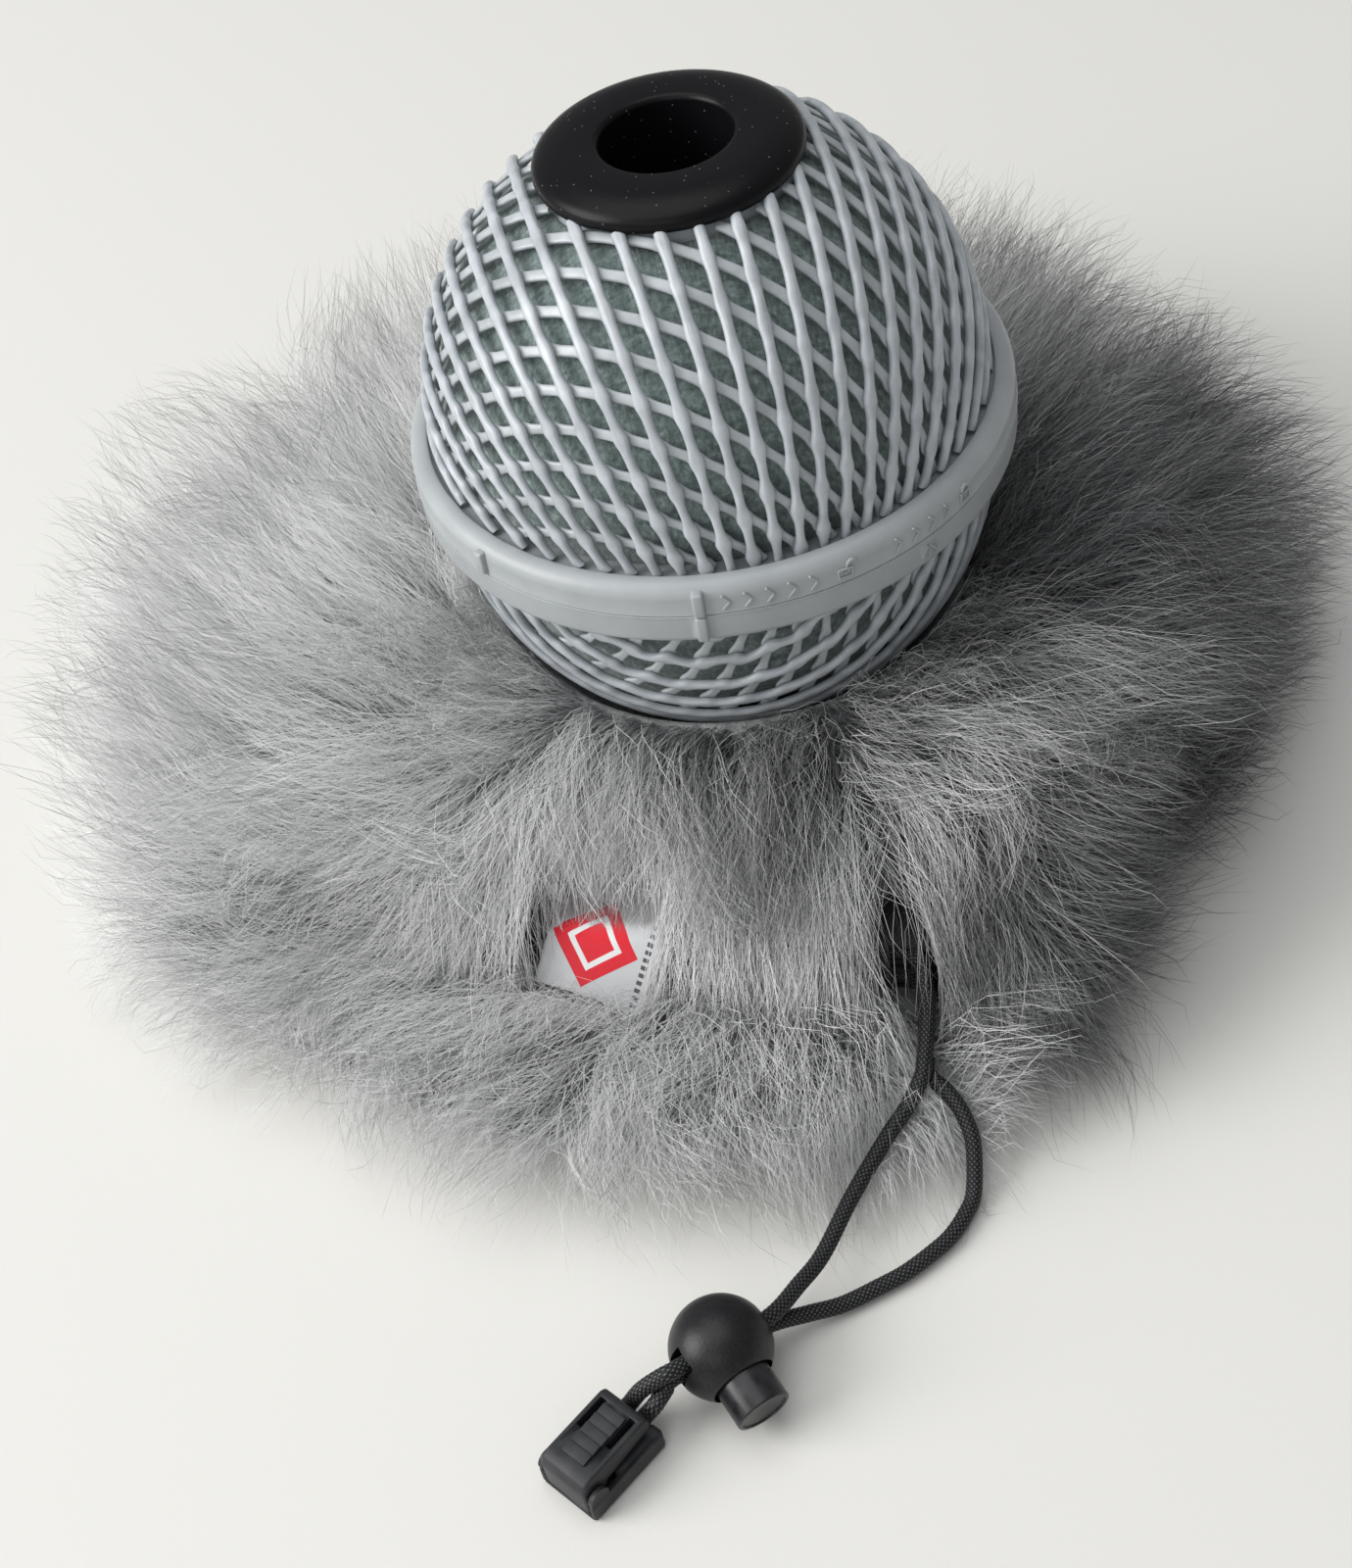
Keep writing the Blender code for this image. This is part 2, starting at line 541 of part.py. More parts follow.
def fur_panel_upper():
    """Shares 0 to 1 are the hollow under the ball, 1 to 2 the stretch out to the edge."""
    top = [(s, 1.0) for s in (0.0, 0.35, 0.6, 0.8, 0.92, 1.0, 1.1, 1.3, 1.5, 1.7, 1.85, 1.95)]
    bottom = [(s, 0.0) for s in (1.99, 1.9, 1.8, 1.65, 1.5, 1.35, 1.2, 1.0, 0.6, 0.0)]
    section = top + [(2.0, 0.6)] + bottom
    hollow_r = BALL_R + DISH_PLAY

    def place(share, angle, level):
        if share <= 1.0:
            reach = share * DISH_RIM_R
        else:
            reach = DISH_RIM_R + (share - 1.0) * (upper_reach(angle) - DISH_RIM_R)
        low = lower_panel_top(reach / cover_reach(angle)) + PANEL_PLAY
        if share <= 1.0:
            high = BALL_LOW_CENTRE - math.sqrt(hollow_r ** 2 - reach ** 2)
        else:
            high = max(UPPER_TOP_Z - UPPER_SLOPE * (reach - DISH_RIM_R), low + 0.003)
        height = low + level * (high - low)
        return (reach * math.cos(angle), reach * math.sin(angle), height)

    return spun_panel("fur_panel_upper", section, place, FUR)


def mouth_point(out, along, height):
    return MOUTH_OUT * out + MOUTH_ALONG * along + Vector((0.0, 0.0, height))


def mouth_height():
    """Height of the mouth's middle: the hem lies on the lower panel."""
    back = mouth_point(MOUTH_DIST - HEM_DEPTH, MOUTH_MID, 0.0)
    share = back.length / cover_reach(math.atan2(back.y, back.x))
    return lower_panel_top(share) + GAP + HEM_HEIGHT + MOUTH_GAP / 2


def stadium(half_straight, radius, end_steps, side_steps):
    """Points round a long flat loop in its own plane, from the right end anticlockwise."""
    points = []
    for side in (1, -1):
        centre = Vector((side * half_straight, 0.0))
        first = -math.pi / 2 if side > 0 else math.pi / 2
        for k in range(end_steps):
            a = first + math.pi * k / end_steps
            points.append(centre + radius * Vector((math.cos(a), math.sin(a))))
        for k in range(side_steps):
            x = side * half_straight * (1 - 2 * k / side_steps)
            points.append(Vector((x, side * radius)))
    return points


def mouth_matrix(out):
    """Local X along the hem, local Y up, local Z out of the mouth."""
    turn = Matrix((MOUTH_ALONG, Vector((0, 0, 1)), MOUTH_OUT)).transposed().to_4x4()
    return Matrix.Translation(mouth_point(out, MOUTH_MID, mouth_height())) @ turn


def mouth_hem():
    """A folded strip of cloth swept round the flattened mouth: a channel for the drawcord."""
    half = HEM_HEIGHT / 2
    inner = half - HEM_CLOTH
    fold = HEM_DEPTH - HEM_CLOTH
    outline = [(-half, 0.0), (-half, HEM_DEPTH - 0.0015), (-half + 0.001, HEM_DEPTH),
               (half - 0.001, HEM_DEPTH), (half, HEM_DEPTH - 0.0015), (half, 0.0), (inner, 0.0),
               (inner, fold - 0.001), (inner - 0.0005, fold), (-inner + 0.0005, fold),
               (-inner, fold - 0.001), (-inner, 0.0)]
    section = bpy.data.curves.new("hem_section", 'CURVE')
    section.dimensions = '2D'
    line = section.splines.new('POLY')
    line.points.add(len(outline) - 1)
    for point, (x, y) in zip(line.points, outline):
        point.co = (x, y, 0.0, 1.0)
    line.use_cyclic_u = True
    section_obj = add_object("hem_section", section, CUTTERS)

    loop = bpy.data.curves.new("hem_loop", 'CURVE')
    loop.dimensions = '2D'
    loop.fill_mode = 'NONE'
    loop.bevel_mode = 'OBJECT'
    loop.bevel_object = section_obj
    path = loop.splines.new('POLY')
    points = stadium(MOUTH_LENGTH / 2 - HEM_LOOP_R, HEM_LOOP_R, 6, 4)
    path.points.add(len(points) - 1)
    for point, co in zip(path.points, points):
        point.co = (*co, 0.0, 1.0)
    path.use_cyclic_u = True
    loop_obj = add_object("hem_loop", loop, CUTTERS)
    bpy.context.view_layer.update()

    evaluated = loop_obj.evaluated_get(bpy.context.evaluated_depsgraph_get())
    bm = bmesh.new()
    swept = bpy.data.meshes.new_from_object(evaluated)
    bm.from_mesh(swept)
    bmesh.ops.remove_doubles(bm, verts=bm.verts[:], dist=1e-6)
    bmesh.ops.recalc_face_normals(bm, faces=bm.faces[:])
    bpy.data.objects.remove(loop_obj)
    bpy.data.objects.remove(section_obj)
    hem = add_object("mouth_hem", mesh_from(bm, "mouth_hem", 40.0), PARTS, HEM_FABRIC)
    hem.matrix_world = mouth_matrix(MOUTH_DIST - HEM_DEPTH)
    slot = box_mesh("hem_slot", (HEM_SLOT_MID - MOUTH_MID - HEM_SLOT_W / 2, -0.01, -0.0016),
                    (HEM_SLOT_MID - MOUTH_MID + HEM_SLOT_W / 2, 0.01, 0.003))
    boolean(hem, cutter("hem_slot", slot, mouth_matrix(MOUTH_DIST)))
    return hem


def cord_in_hem_out():
    """Distance of the drawcord's centre line from the ball's axis, inside the hem."""
    return MOUTH_DIST - HEM_CLOTH - 0.0004 - CORD_D / 2


def cord_in_hem_end():
    """Where the hidden stretch of the drawcord ends, measured along the hem."""
    return HEM_SLOT_MID - HEM_SLOT_W / 2 - 0.0007


def hem_cord_run():
    """The hidden stretch of the drawcord: out along the top of the mouth and back along the bottom."""
    end = cord_in_hem_end() - MOUTH_MID
    left = MOUTH_LENGTH / 2 - HEM_LOOP_R
    local = [Vector((end + (-left - end) * k / 10, HEM_LOOP_R)) for k in range(10)]
    turn = [math.pi / 2 + math.pi * k / 6 for k in range(7)]
    local += [Vector((-left + HEM_LOOP_R * math.cos(a), HEM_LOOP_R * math.sin(a))) for a in turn]
    local += [Vector((-left + (end + left) * k / 10, -HEM_LOOP_R)) for k in range(1, 11)]
    place = mouth_matrix(cord_in_hem_out())
    return tube("hem_cord_run", [place @ p.to_3d() for p in local], CORD_D, CORD_BRAID)


def side_label():
    """A woven label, folded over and sewn on the hem, that hangs down over its front edge."""
    root_z = mouth_height() + HEM_LOOP_R + HEM_HEIGHT / 2 + GAP + LABEL_T / 2
    bend_from = MOUTH_DIST + GAP
    arc = LABEL_BEND_R * LABEL_DROOP
    bm = bmesh.new()
    bmesh.ops.create_grid(bm, x_segments=4, y_segments=12, size=0.5)
    spin = Matrix.Rotation(LABEL_TURN, 2)
    for v in bm.verts:
        flat = spin @ Vector((v.co.x * LABEL_W, (v.co.y + 0.5) * LABEL_LENGTH - LABEL_IN))
        past = flat.y
        if past <= 0.0:
            out, drop = past, 0.0
        elif past < arc:
            out = LABEL_BEND_R * math.sin(past / LABEL_BEND_R)
            drop = LABEL_BEND_R * (1 - math.cos(past / LABEL_BEND_R))
        else:
            out = LABEL_BEND_R * math.sin(LABEL_DROOP) + (past - arc) * math.cos(LABEL_DROOP)
            drop = LABEL_BEND_R * (1 - math.cos(LABEL_DROOP)) + (past - arc) * math.sin(LABEL_DROOP)
        v.co = mouth_point(bend_from + out, LABEL_MID + flat.x, root_z - drop)
    bmesh.ops.recalc_face_normals(bm, faces=bm.faces[:])
    label = add_object("side_label", mesh_from(bm, "side_label"), PARTS, LABEL_SATIN)
    thick = label.modifiers.new("thickness", 'SOLIDIFY')
    thick.thickness = LABEL_T
    thick.offset = 0.0
    return label


# ---------------------------------------------------------------- cord lock
def unit(azimuth, rise):
    return Vector((math.cos(azimuth) * math.cos(rise), math.sin(azimuth) * math.cos(rise),
                   math.sin(rise)))


def lock_matrix():
    """Local Z points along the button, local X along the cords, local Y downwards."""
    out = unit(*LOCK_BUTTON_DIR)
    cords = unit(*LOCK_CORD_DIR)
    cords = (cords - out * out.dot(cords)).normalized()
    turn = Matrix((cords, out.cross(cords), out)).transposed().to_4x4()
    return Matrix.Translation(LOCK_POS) @ turn


def lock_body():
    bm = bmesh.new()
    bmesh.ops.create_uvsphere(bm, u_segments=28, v_segments=18, radius=LOCK_R)
    body = add_object("cord_lock_body", mesh_from(bm, "cord_lock_body", 40.0), PARTS, LOCK_PLASTIC)
    body.matrix_world = lock_matrix()
    bore = rod_mesh("lock_bore", LOCK_BORE_R, (0, 0, -LOCK_BORE_FLOOR), (0, 0, 2 * LOCK_R), 28)
    room = rod_mesh("spring_room", SPRING_ROOM_R, (0, 0, -SPRING_ROOM_FLOOR), (0, 0, 0), 24)
    slot = box_mesh("lock_slot", (-2 * LOCK_R, -LOCK_SLOT_H / 2, -LOCK_SLOT_W / 2),
                    (2 * LOCK_R, LOCK_SLOT_H / 2, LOCK_SLOT_W / 2))
    for tool in (bore, room, slot):
        boolean(body, cutter(tool.name, tool, lock_matrix()))
    return body


def lock_button():
    """Plunger with its own slot; at rest the slot's inner end presses the cords outwards."""
    button = add_object("cord_lock_button",
                        rod_mesh("cord_lock_button", BUTTON_R, (0, 0, -BUTTON_FOOT),
                                 (0, 0, BUTTON_FACE), 28), PARTS, BUTTON_PLASTIC)
    button.matrix_world = lock_matrix()
    clear = CORD_D / 2 + GAP
    slot = box_mesh("button_slot", (-LOCK_R, -LOCK_SLOT_H / 2 + 0.0006, -clear),
                    (LOCK_R, LOCK_SLOT_H / 2 - 0.0006, clear + BUTTON_TRAVEL))
    boolean(button, cutter("button_slot", slot, lock_matrix()))
    return button


def lock_spring():
    low = -SPRING_ROOM_FLOOR + SPRING_WIRE / 2 + GAP
    high = -BUTTON_FOOT - SPRING_WIRE / 2 - GAP
    place = lock_matrix()
    count = round(SPRING_TURNS * 14)
    route = []
    for k in range(count + 1):
        share = k / count
        a = share * SPRING_TURNS * 2 * math.pi
        level = low + (high - low) * share
        route.append(place @ Vector((SPRING_R * math.cos(a), SPRING_R * math.sin(a), level)))
    return tube("cord_lock_spring", route, SPRING_WIRE, STEEL, 1)


# ---------------------------------------------------------------- cord end
def end_matrix():
    """Local X towards the cord entry, local Z up."""
    return Matrix.Translation(END_POS) @ Matrix.Rotation(END_AZ, 4, 'Z')


def end_cord_point(x, side):
    return end_matrix() @ Vector((x, side * END_CORD_SIDE, END_CORD_Z))


def cord_room(name, low, high):
    """The hollow that holds both cords, cut into the base from above or the lid from below."""
    half = END_CORD_SIDE + CORD_D / 2 + GAP
    return box_mesh(name, (END_CORD_STOP - GAP, -half, low), (0.02, half, high))


def end_base():
    place = end_matrix()
    base = add_object("cord_end_base",
                      box_mesh("cord_end_base", (-END_BACK, -END_BASE_W / 2, 0.0),
                               (END_ENTRY, END_BASE_W / 2, END_BASE_H), 0.0006), PARTS, END_PLASTIC)
    base.matrix_world = place
    for side in (-1, 1):
        y_out = side * END_BASE_W / 2
        y_in = side * (END_BASE_W / 2 - EAR_W)
        ear = rod_mesh(f"ear_{side}", KNUCKLE_R - 0.0001, (HINGE_X, y_in, HINGE_Z),
                       (HINGE_X, y_out, HINGE_Z))
        boolean(base, cutter(f"ear_{side}", ear, place), 'UNION')
    knuckle_room = rod_mesh("knuckle_room", KNUCKLE_R + 0.0004,
                            (HINGE_X, -END_BASE_W / 2 + EAR_W, HINGE_Z),
                            (HINGE_X, END_BASE_W / 2 - EAR_W, HINGE_Z))
    pin_hole = rod_mesh("base_pin_hole", HINGE_PIN_R + GAP, (HINGE_X, -0.02, HINGE_Z),
                        (HINGE_X, 0.02, HINGE_Z), 16)
    floor = END_CORD_Z - CORD_D / 2 - GAP
    for tool in (knuckle_room, pin_hole, cord_room("base_cord_room", floor, 0.02)):
        boolean(base, cutter(tool.name, tool, place))
    return base


def end_lid():
    """The lid's own origin lies on its hinge axis."""
    hinge = Vector((HINGE_X, 0.0, HINGE_Z))
    low = END_BASE_H + GAP + 0.0001
    half = END_LID_W / 2
    plate = box_mesh("cord_end_lid", (HINGE_X + 0.0022, -half, low), (END_LID_FRONT, half, END_TOP), 0.0007)
    plate.transform(Matrix.Translation(-hinge))
    lid = add_object("cord_end_lid", plate, PARTS, END_PLASTIC)
    lid.matrix_world = end_matrix() @ Matrix.Translation(hinge)
    place = end_matrix()
    inner = END_BASE_W / 2 - EAR_W - GAP
    tongue = box_mesh("lid_tongue", (HINGE_X, -inner, HINGE_Z), (HINGE_X + 0.004, inner, END_TOP - 0.0008))
    knuckle = rod_mesh("lid_knuckle", KNUCKLE_R, (HINGE_X, -inner, HINGE_Z), (HINGE_X, inner, HINGE_Z))
    boolean(lid, cutter("lid_tongue", tongue, place), 'UNION')
    boolean(lid, cutter("lid_knuckle", knuckle, place), 'UNION')
    pin_hole = rod_mesh("lid_pin_hole", HINGE_PIN_R + GAP, (HINGE_X, -0.02, HINGE_Z),
                        (HINGE_X, 0.02, HINGE_Z), 16)
    boolean(lid, cutter("lid_pin_hole", pin_hole, place))
    ceiling = END_CORD_Z + CORD_D / 2 + GAP
    boolean(lid, cutter("lid_cord_room", cord_room("lid_cord_room", 0.0, ceiling), place))
    for side in (-1, 1):
        middle = side * 0.0033
        window = box_mesh(f"lid_window_{side}", (0.0005, middle - 0.0007, END_BASE_H),
                          (0.0045, middle + 0.0007, 0.02))
        boolean(lid, cutter(f"lid_window_{side}", window, place))
    return lid


def end_pin():
    half = END_BASE_W / 2
    mesh = rod_mesh("cord_end_pin", HINGE_PIN_R, (0, -half, 0), (0, half, 0), 16)
    pin = add_object("cord_end_pin", mesh, PARTS, END_PLASTIC)
    pin.matrix_world = end_matrix() @ Matrix.Translation((HINGE_X, 0.0, HINGE_Z))
    return pin


# ---------------------------------------------------------------- drawcord
def drawcord(name, side, free, tail):
    """From the hem, through the lock, into the cord end. side is +1 for the upper cord."""
    height = mouth_height() + side * HEM_LOOP_R
    start = cord_in_hem_end() + 2 * GAP
    out = cord_in_hem_out()
    points = [mouth_point(out, start, height), mouth_point(out + 0.0003, start + 0.0032, height)]
    points += [Vector(p) for p in free]
    place = lock_matrix()
    for x in (-LOCK_R - 0.0005, 0.0, LOCK_R + 0.0003):
        points.append(place @ Vector((x, -side * CORD_STACK / 2, 0.0)))
    points += [Vector(p) for p in tail]
    points.append(end_cord_point(END_ENTRY, side))
    points.append(end_cord_point(END_ENTRY - 0.0030, side))
    points.append(end_cord_point(END_CORD_STOP, side))
    return tube(name, smooth_route(points, ROUTE_STEP), CORD_D, CORD_BRAID)


# ---------------------------------------------------------------- build
clear_scene()
PARTS = collection("furry_windscreen")
CUTTERS = collection("cutters")
BASKET_PLASTIC = material("basket_plastic", (0.42, 0.45, 0.48), 0.35)
FOAM_FELT = material("foam_felt", (0.14, 0.17, 0.165), 0.95)
RING_PLASTIC = material("ring_plastic", (0.36, 0.38, 0.39), 0.4)
SEAL_RUBBER = material("seal_rubber", (0.02, 0.02, 0.02), 0.7)
BUSH_RUBBER = material("bush_rubber", (0.012, 0.012, 0.013), 0.45)
FUR = material("fur", (0.30, 0.30, 0.32), 0.8)
HEM_FABRIC = material("hem_fabric", (0.05, 0.05, 0.055), 0.9)
LABEL_SATIN = material("label_satin", (0.45, 0.46, 0.48), 0.45)
CORD_BRAID = material("cord_braid", (0.015, 0.015, 0.017), 0.6)
LOCK_PLASTIC = material("lock_plastic", (0.02, 0.02, 0.022), 0.45)
BUTTON_PLASTIC = material("button_plastic", (0.03, 0.03, 0.033), 0.3)
STEEL = material("spring_steel", (0.5, 0.5, 0.5), 0.3, 1.0)
END_PLASTIC = material("cord_end_plastic", (0.05, 0.05, 0.055), 0.5)

basket_net("upper_basket_net", UPPER_STRAND_DIR, POLE_HOLE_R, 1)
basket_net("lower_basket_net", LOWER_STRAND_DIR, 0.0, -1)
foam_liner("upper_foam_liner", COLLAR_FLANGE_R + 0.0005, 1)
foam_liner("lower_foam_liner", 0.0, -1)
upper_ring()
lower_ring()
ring_seal()
bush_collar()
rubber_bush()
fur_panel_lower()
fur_panel_upper()
mouth_hem()
hem_cord_run()
side_label()
lock_body()
lock_button()
lock_spring()
end_base()
end_lid()
end_pin()
drawcord("drawcord_a", 1, CORD_A_FREE, CORD_A_TAIL)
drawcord("drawcord_b", -1, CORD_B_FREE, CORD_B_TAIL)
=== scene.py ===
import math

import bmesh
import bpy
import numpy as np
from mathutils import Matrix, Vector, noise
from mathutils.kdtree import KDTree


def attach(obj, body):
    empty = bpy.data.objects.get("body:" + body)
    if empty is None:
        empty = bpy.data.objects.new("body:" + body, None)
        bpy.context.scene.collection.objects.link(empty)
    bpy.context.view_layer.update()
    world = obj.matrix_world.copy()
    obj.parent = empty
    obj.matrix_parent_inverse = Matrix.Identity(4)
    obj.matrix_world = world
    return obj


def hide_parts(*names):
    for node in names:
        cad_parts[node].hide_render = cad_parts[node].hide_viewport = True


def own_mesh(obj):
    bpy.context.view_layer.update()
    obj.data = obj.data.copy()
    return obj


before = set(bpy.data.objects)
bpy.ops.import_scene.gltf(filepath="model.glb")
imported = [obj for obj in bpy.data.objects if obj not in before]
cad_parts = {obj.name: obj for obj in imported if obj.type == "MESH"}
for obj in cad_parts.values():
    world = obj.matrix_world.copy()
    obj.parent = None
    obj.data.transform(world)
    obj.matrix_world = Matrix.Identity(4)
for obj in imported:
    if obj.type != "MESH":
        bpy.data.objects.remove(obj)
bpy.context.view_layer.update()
scene = bpy.context.scene

# ---------------------------------------------------------------- camera, table and light
# The windscreen stands on a pale table. The camera looks down on it from the front, tilted a little.
# Soft daylight comes from a window at the left. A pale ceiling and the room give the rest.
SENSOR_HEIGHT = 36.0         # millimetres, like the lens
LENS = 54.67
CAMERA_PLACE = (0.0, -0.3332, 0.3332)
TABLE_COLOUR = (0.65, 0.645, 0.62)
TABLE_HALF = 3.0
TABLE_DROP = 0.0002          # the table's face is this far below everything that stands on it
ROOM_COLOUR = (0.97, 0.985, 1.0)
ROOM_LIGHT = 0.30
camera_data = bpy.data.cameras.new("camera")
camera_data.sensor_fit = 'VERTICAL'
camera_data.sensor_height = SENSOR_HEIGHT
camera_data.lens = LENS
camera = bpy.data.objects.new("camera", camera_data)
scene.collection.objects.link(camera)
camera_right = Vector((0.98543, -0.09076, -0.14383))
camera_up = Vector((0.16515, 0.71273, 0.68172))
camera_back = Vector((0.04064, -0.69554, 0.71734))
camera_turn = Matrix((camera_right, camera_up, camera_back)).transposed()
camera.matrix_world = Matrix.Translation(CAMERA_PLACE) @ camera_turn.to_4x4()
scene.camera = camera


def new_material(name, colour, roughness, **sockets):
    """A material, its shader and its node tree; further sockets are set by name."""
    made = bpy.data.materials.new(name)
    made.use_nodes = True
    tree = made.node_tree
    shader = tree.nodes["Principled BSDF"]
    shader.inputs["Base Color"].default_value = (*colour, 1.0)
    shader.inputs["Roughness"].default_value = roughness
    for socket, value in sockets.items():
        shader.inputs[socket.replace("_", " ")].default_value = value
    return made, shader, tree


def add_node(tree, kind, **settings):
    node = tree.nodes.new(kind)
    for key, value in settings.items():
        if hasattr(node, key):
            setattr(node, key, value)
        else:
            node.inputs[key.replace("_", " ")].default_value = value
    return node


def texture(tree, kind, out="Fac", source="Object", turn=(0.0, 0.0, 0.0), stretch=None, **settings):
    """A texture's output. It is laid by the piece's own coordinates or a UV map, turned and stretched."""
    node = add_node(tree, kind, **settings)
    if source == "Object":
        place = add_node(tree, 'ShaderNodeTexCoord').outputs["Object"]
    else:
        place = add_node(tree, 'ShaderNodeUVMap', uv_map=source).outputs["UV"]
    if stretch is not None:
        mapping = add_node(tree, 'ShaderNodeMapping', Rotation=turn, Scale=stretch)
        tree.links.new(place, mapping.inputs["Vector"])
        place = mapping.outputs["Vector"]
    tree.links.new(place, node.inputs["Vector"])
    return node.outputs[out]


def colour_steps(tree, factor, *stops):
    """A ramp through (place, colour) stops, driven by a factor socket."""
    ramp = tree.nodes.new('ShaderNodeValToRGB')
    points = ramp.color_ramp.elements
    while len(points) < len(stops):
        points.new(0.5)
    for point, (place, colour) in zip(points, stops):
        point.position = place
        point.color = (*colour, 1.0)
    tree.links.new(factor, ramp.inputs["Fac"])
    return ramp.outputs["Color"]


def colour_by(tree, shader, factor, *stops):
    tree.links.new(colour_steps(tree, factor, *stops), shader.inputs["Base Color"])


def surface_bump(tree, shader, height, distance, strength=1.0):
    bump = tree.nodes.new('ShaderNodeBump')
    bump.inputs["Strength"].default_value = strength
    bump.inputs["Distance"].default_value = distance
    tree.links.new(height, bump.inputs["Height"])
    tree.links.new(bump.outputs["Normal"], shader.inputs["Normal"])


table_mat, table_shader, table_tree = new_material("table_paint", TABLE_COLOUR, 0.75)
grain = texture(table_tree, 'ShaderNodeTexNoise', Scale=900.0, Detail=3.0)
surface_bump(table_tree, table_shader, grain, 0.00002)

table_mesh = bpy.data.meshes.new("table")
bm = bmesh.new()
bmesh.ops.create_grid(bm, x_segments=4, y_segments=4, size=TABLE_HALF)
bm.to_mesh(table_mesh)
bm.free()
table = bpy.data.objects.new("table", table_mesh)
scene.collection.objects.link(table)
table_mesh.materials.append(table_mat)
table.location.z = -TABLE_DROP

world = bpy.data.worlds.new("room")
scene.world = world
world.use_nodes = True
room = world.node_tree.nodes["Background"]
room.inputs["Color"].default_value = (*ROOM_COLOUR, 1.0)
room.inputs["Strength"].default_value = ROOM_LIGHT


def soft_lamp(name, place, aim, size, power, colour):
    """A round lamp of the given width at a place, turned to face its aim."""
    data = bpy.data.lights.new(name, 'AREA')
    data.shape = 'DISK'
    data.size = size
    data.energy = power
    data.color = colour
    lamp = bpy.data.objects.new(name, data)
    scene.collection.objects.link(lamp)
    lamp.location = place
    lamp.rotation_euler = (Vector(aim) - Vector(place)).to_track_quat('-Z', 'Y').to_euler()


soft_lamp("window", (-1.88, -0.30, 1.15), (0.0, 0.0, 0.05), 1.6, 51.0, (1.0, 0.99, 0.97))
soft_lamp("ceiling", (-0.40, 0.10, 2.30), (0.0, 0.0, 0.0), 2.6, 30.0, (1.0, 1.0, 1.0))
soft_lamp("front_fill", (-0.5, -1.3, 0.9), (0.0, 0.0, 0.05), 1.0, 3.0, (1.0, 1.0, 1.0))

scene.view_settings.view_transform = 'Standard'

# ---------------------------------------------------------------- drawcord
# One length of black polyester braid runs through the hem of the mouth, and its two ends come out there.
# Ten fine yarns wind each way round and cross over and under. Each stitch's crest is painted lighter as a
# painted highlight, and the hollows between stitches are painted darker as painted shade.
CORD_D = 0.0028
CORD_YARNS = 10              # yarns that wind each way round
CORD_LAY = 0.0092            # length of one full turn of a yarn
CORD_STITCH_DEPTH = 0.00019
CORD_SIDES = 40
CORD_STEP = 0.00023          # length of one ring of the cord's mesh
MOUTH_AZ = math.radians(-108.1)
MOUTH_OUT = Vector((math.cos(MOUTH_AZ), math.sin(MOUTH_AZ), 0.0))
MOUTH_ALONG = Vector((-math.sin(MOUTH_AZ), math.cos(MOUTH_AZ), 0.0))
MOUTH_DIST = 0.0729          # from the ball's axis to the fold of the hem
MOUTH_HEIGHT = 0.01975
HEM_LOOP_R = 0.00325
CORD_IN_HEM = 0.0703
CORD_LEAVES_HEM = 0.0383     # along the hem
LOCK_R = 0.0083
LOCK_POS = Vector((-0.0225, -0.1396, 0.0083))
LOCK_CORDS = Vector((-0.87565, -0.46107, 0.14373))
LOCK_OUT = Vector((0.42879, -0.87915, -0.20791))
CORD_STACK = 0.0031          # the two cords lie one over the other inside the lock
END_POS = Vector((-0.0430, -0.1514, 0.0))
END_AZ = math.radians(43.0)
CORD_A_FREE = [(0.0191, -0.0829, 0.0232), (0.0193, -0.0862, 0.0216), (0.0186, -0.0903, 0.0178),
               (0.0168, -0.0964, 0.0142), (0.0158, -0.0987, 0.0130), (0.0126, -0.1026, 0.0110),
               (0.0086, -0.1062, 0.0088), (0.0015, -0.1149, 0.0068), (-0.0047, -0.1241, 0.0056),
               (-0.0092, -0.1298, 0.0069)]
CORD_B_FREE = [(0.0191, -0.0829, 0.0166), (0.0189, -0.0860, 0.0152), (0.0182, -0.0893, 0.0128),
               (0.0174, -0.0959, 0.0104), (0.0192, -0.0986, 0.0098), (0.0208, -0.1015, 0.0090),
               (0.0219, -0.1046, 0.0080), (0.0224, -0.1085, 0.0062), (0.0211, -0.1150, 0.0024),
               (0.0190, -0.1186, 0.0017), (0.0159, -0.1222, 0.0016), (0.0123, -0.1248, 0.0016),
               (0.0079, -0.1274, 0.0016), (0.0037, -0.1291, 0.0016), (-0.0029, -0.1315, 0.0018),
               (-0.0084, -0.1330, 0.0032)]
TAIL_MIDDLE = [(-0.0321, -0.1446, 0.0088), (-0.0347, -0.1456, 0.0071)]
TAIL_SIDES = [(-0.05, 0.20, 0.98), (-0.55, 0.70, 0.45)]      # from the second cord towards the first


def mouth_point(out, along, height):
    """A point by its distance from the ball's axis towards the mouth, its place along it, and its height."""
    return MOUTH_OUT * out + MOUTH_ALONG * along + Vector((0.0, 0.0, height))


def placed(origin, x_axis, y_axis, z_axis):
    """The matrix of a local frame: its origin and its three axes."""
    return Matrix.Translation(origin) @ Matrix((x_axis, y_axis, z_axis)).transposed().to_4x4()


lock_place = placed(LOCK_POS, LOCK_CORDS, LOCK_OUT.cross(LOCK_CORDS), LOCK_OUT)
end_place = Matrix.Translation(END_POS) @ Matrix.Rotation(END_AZ, 4, 'Z')


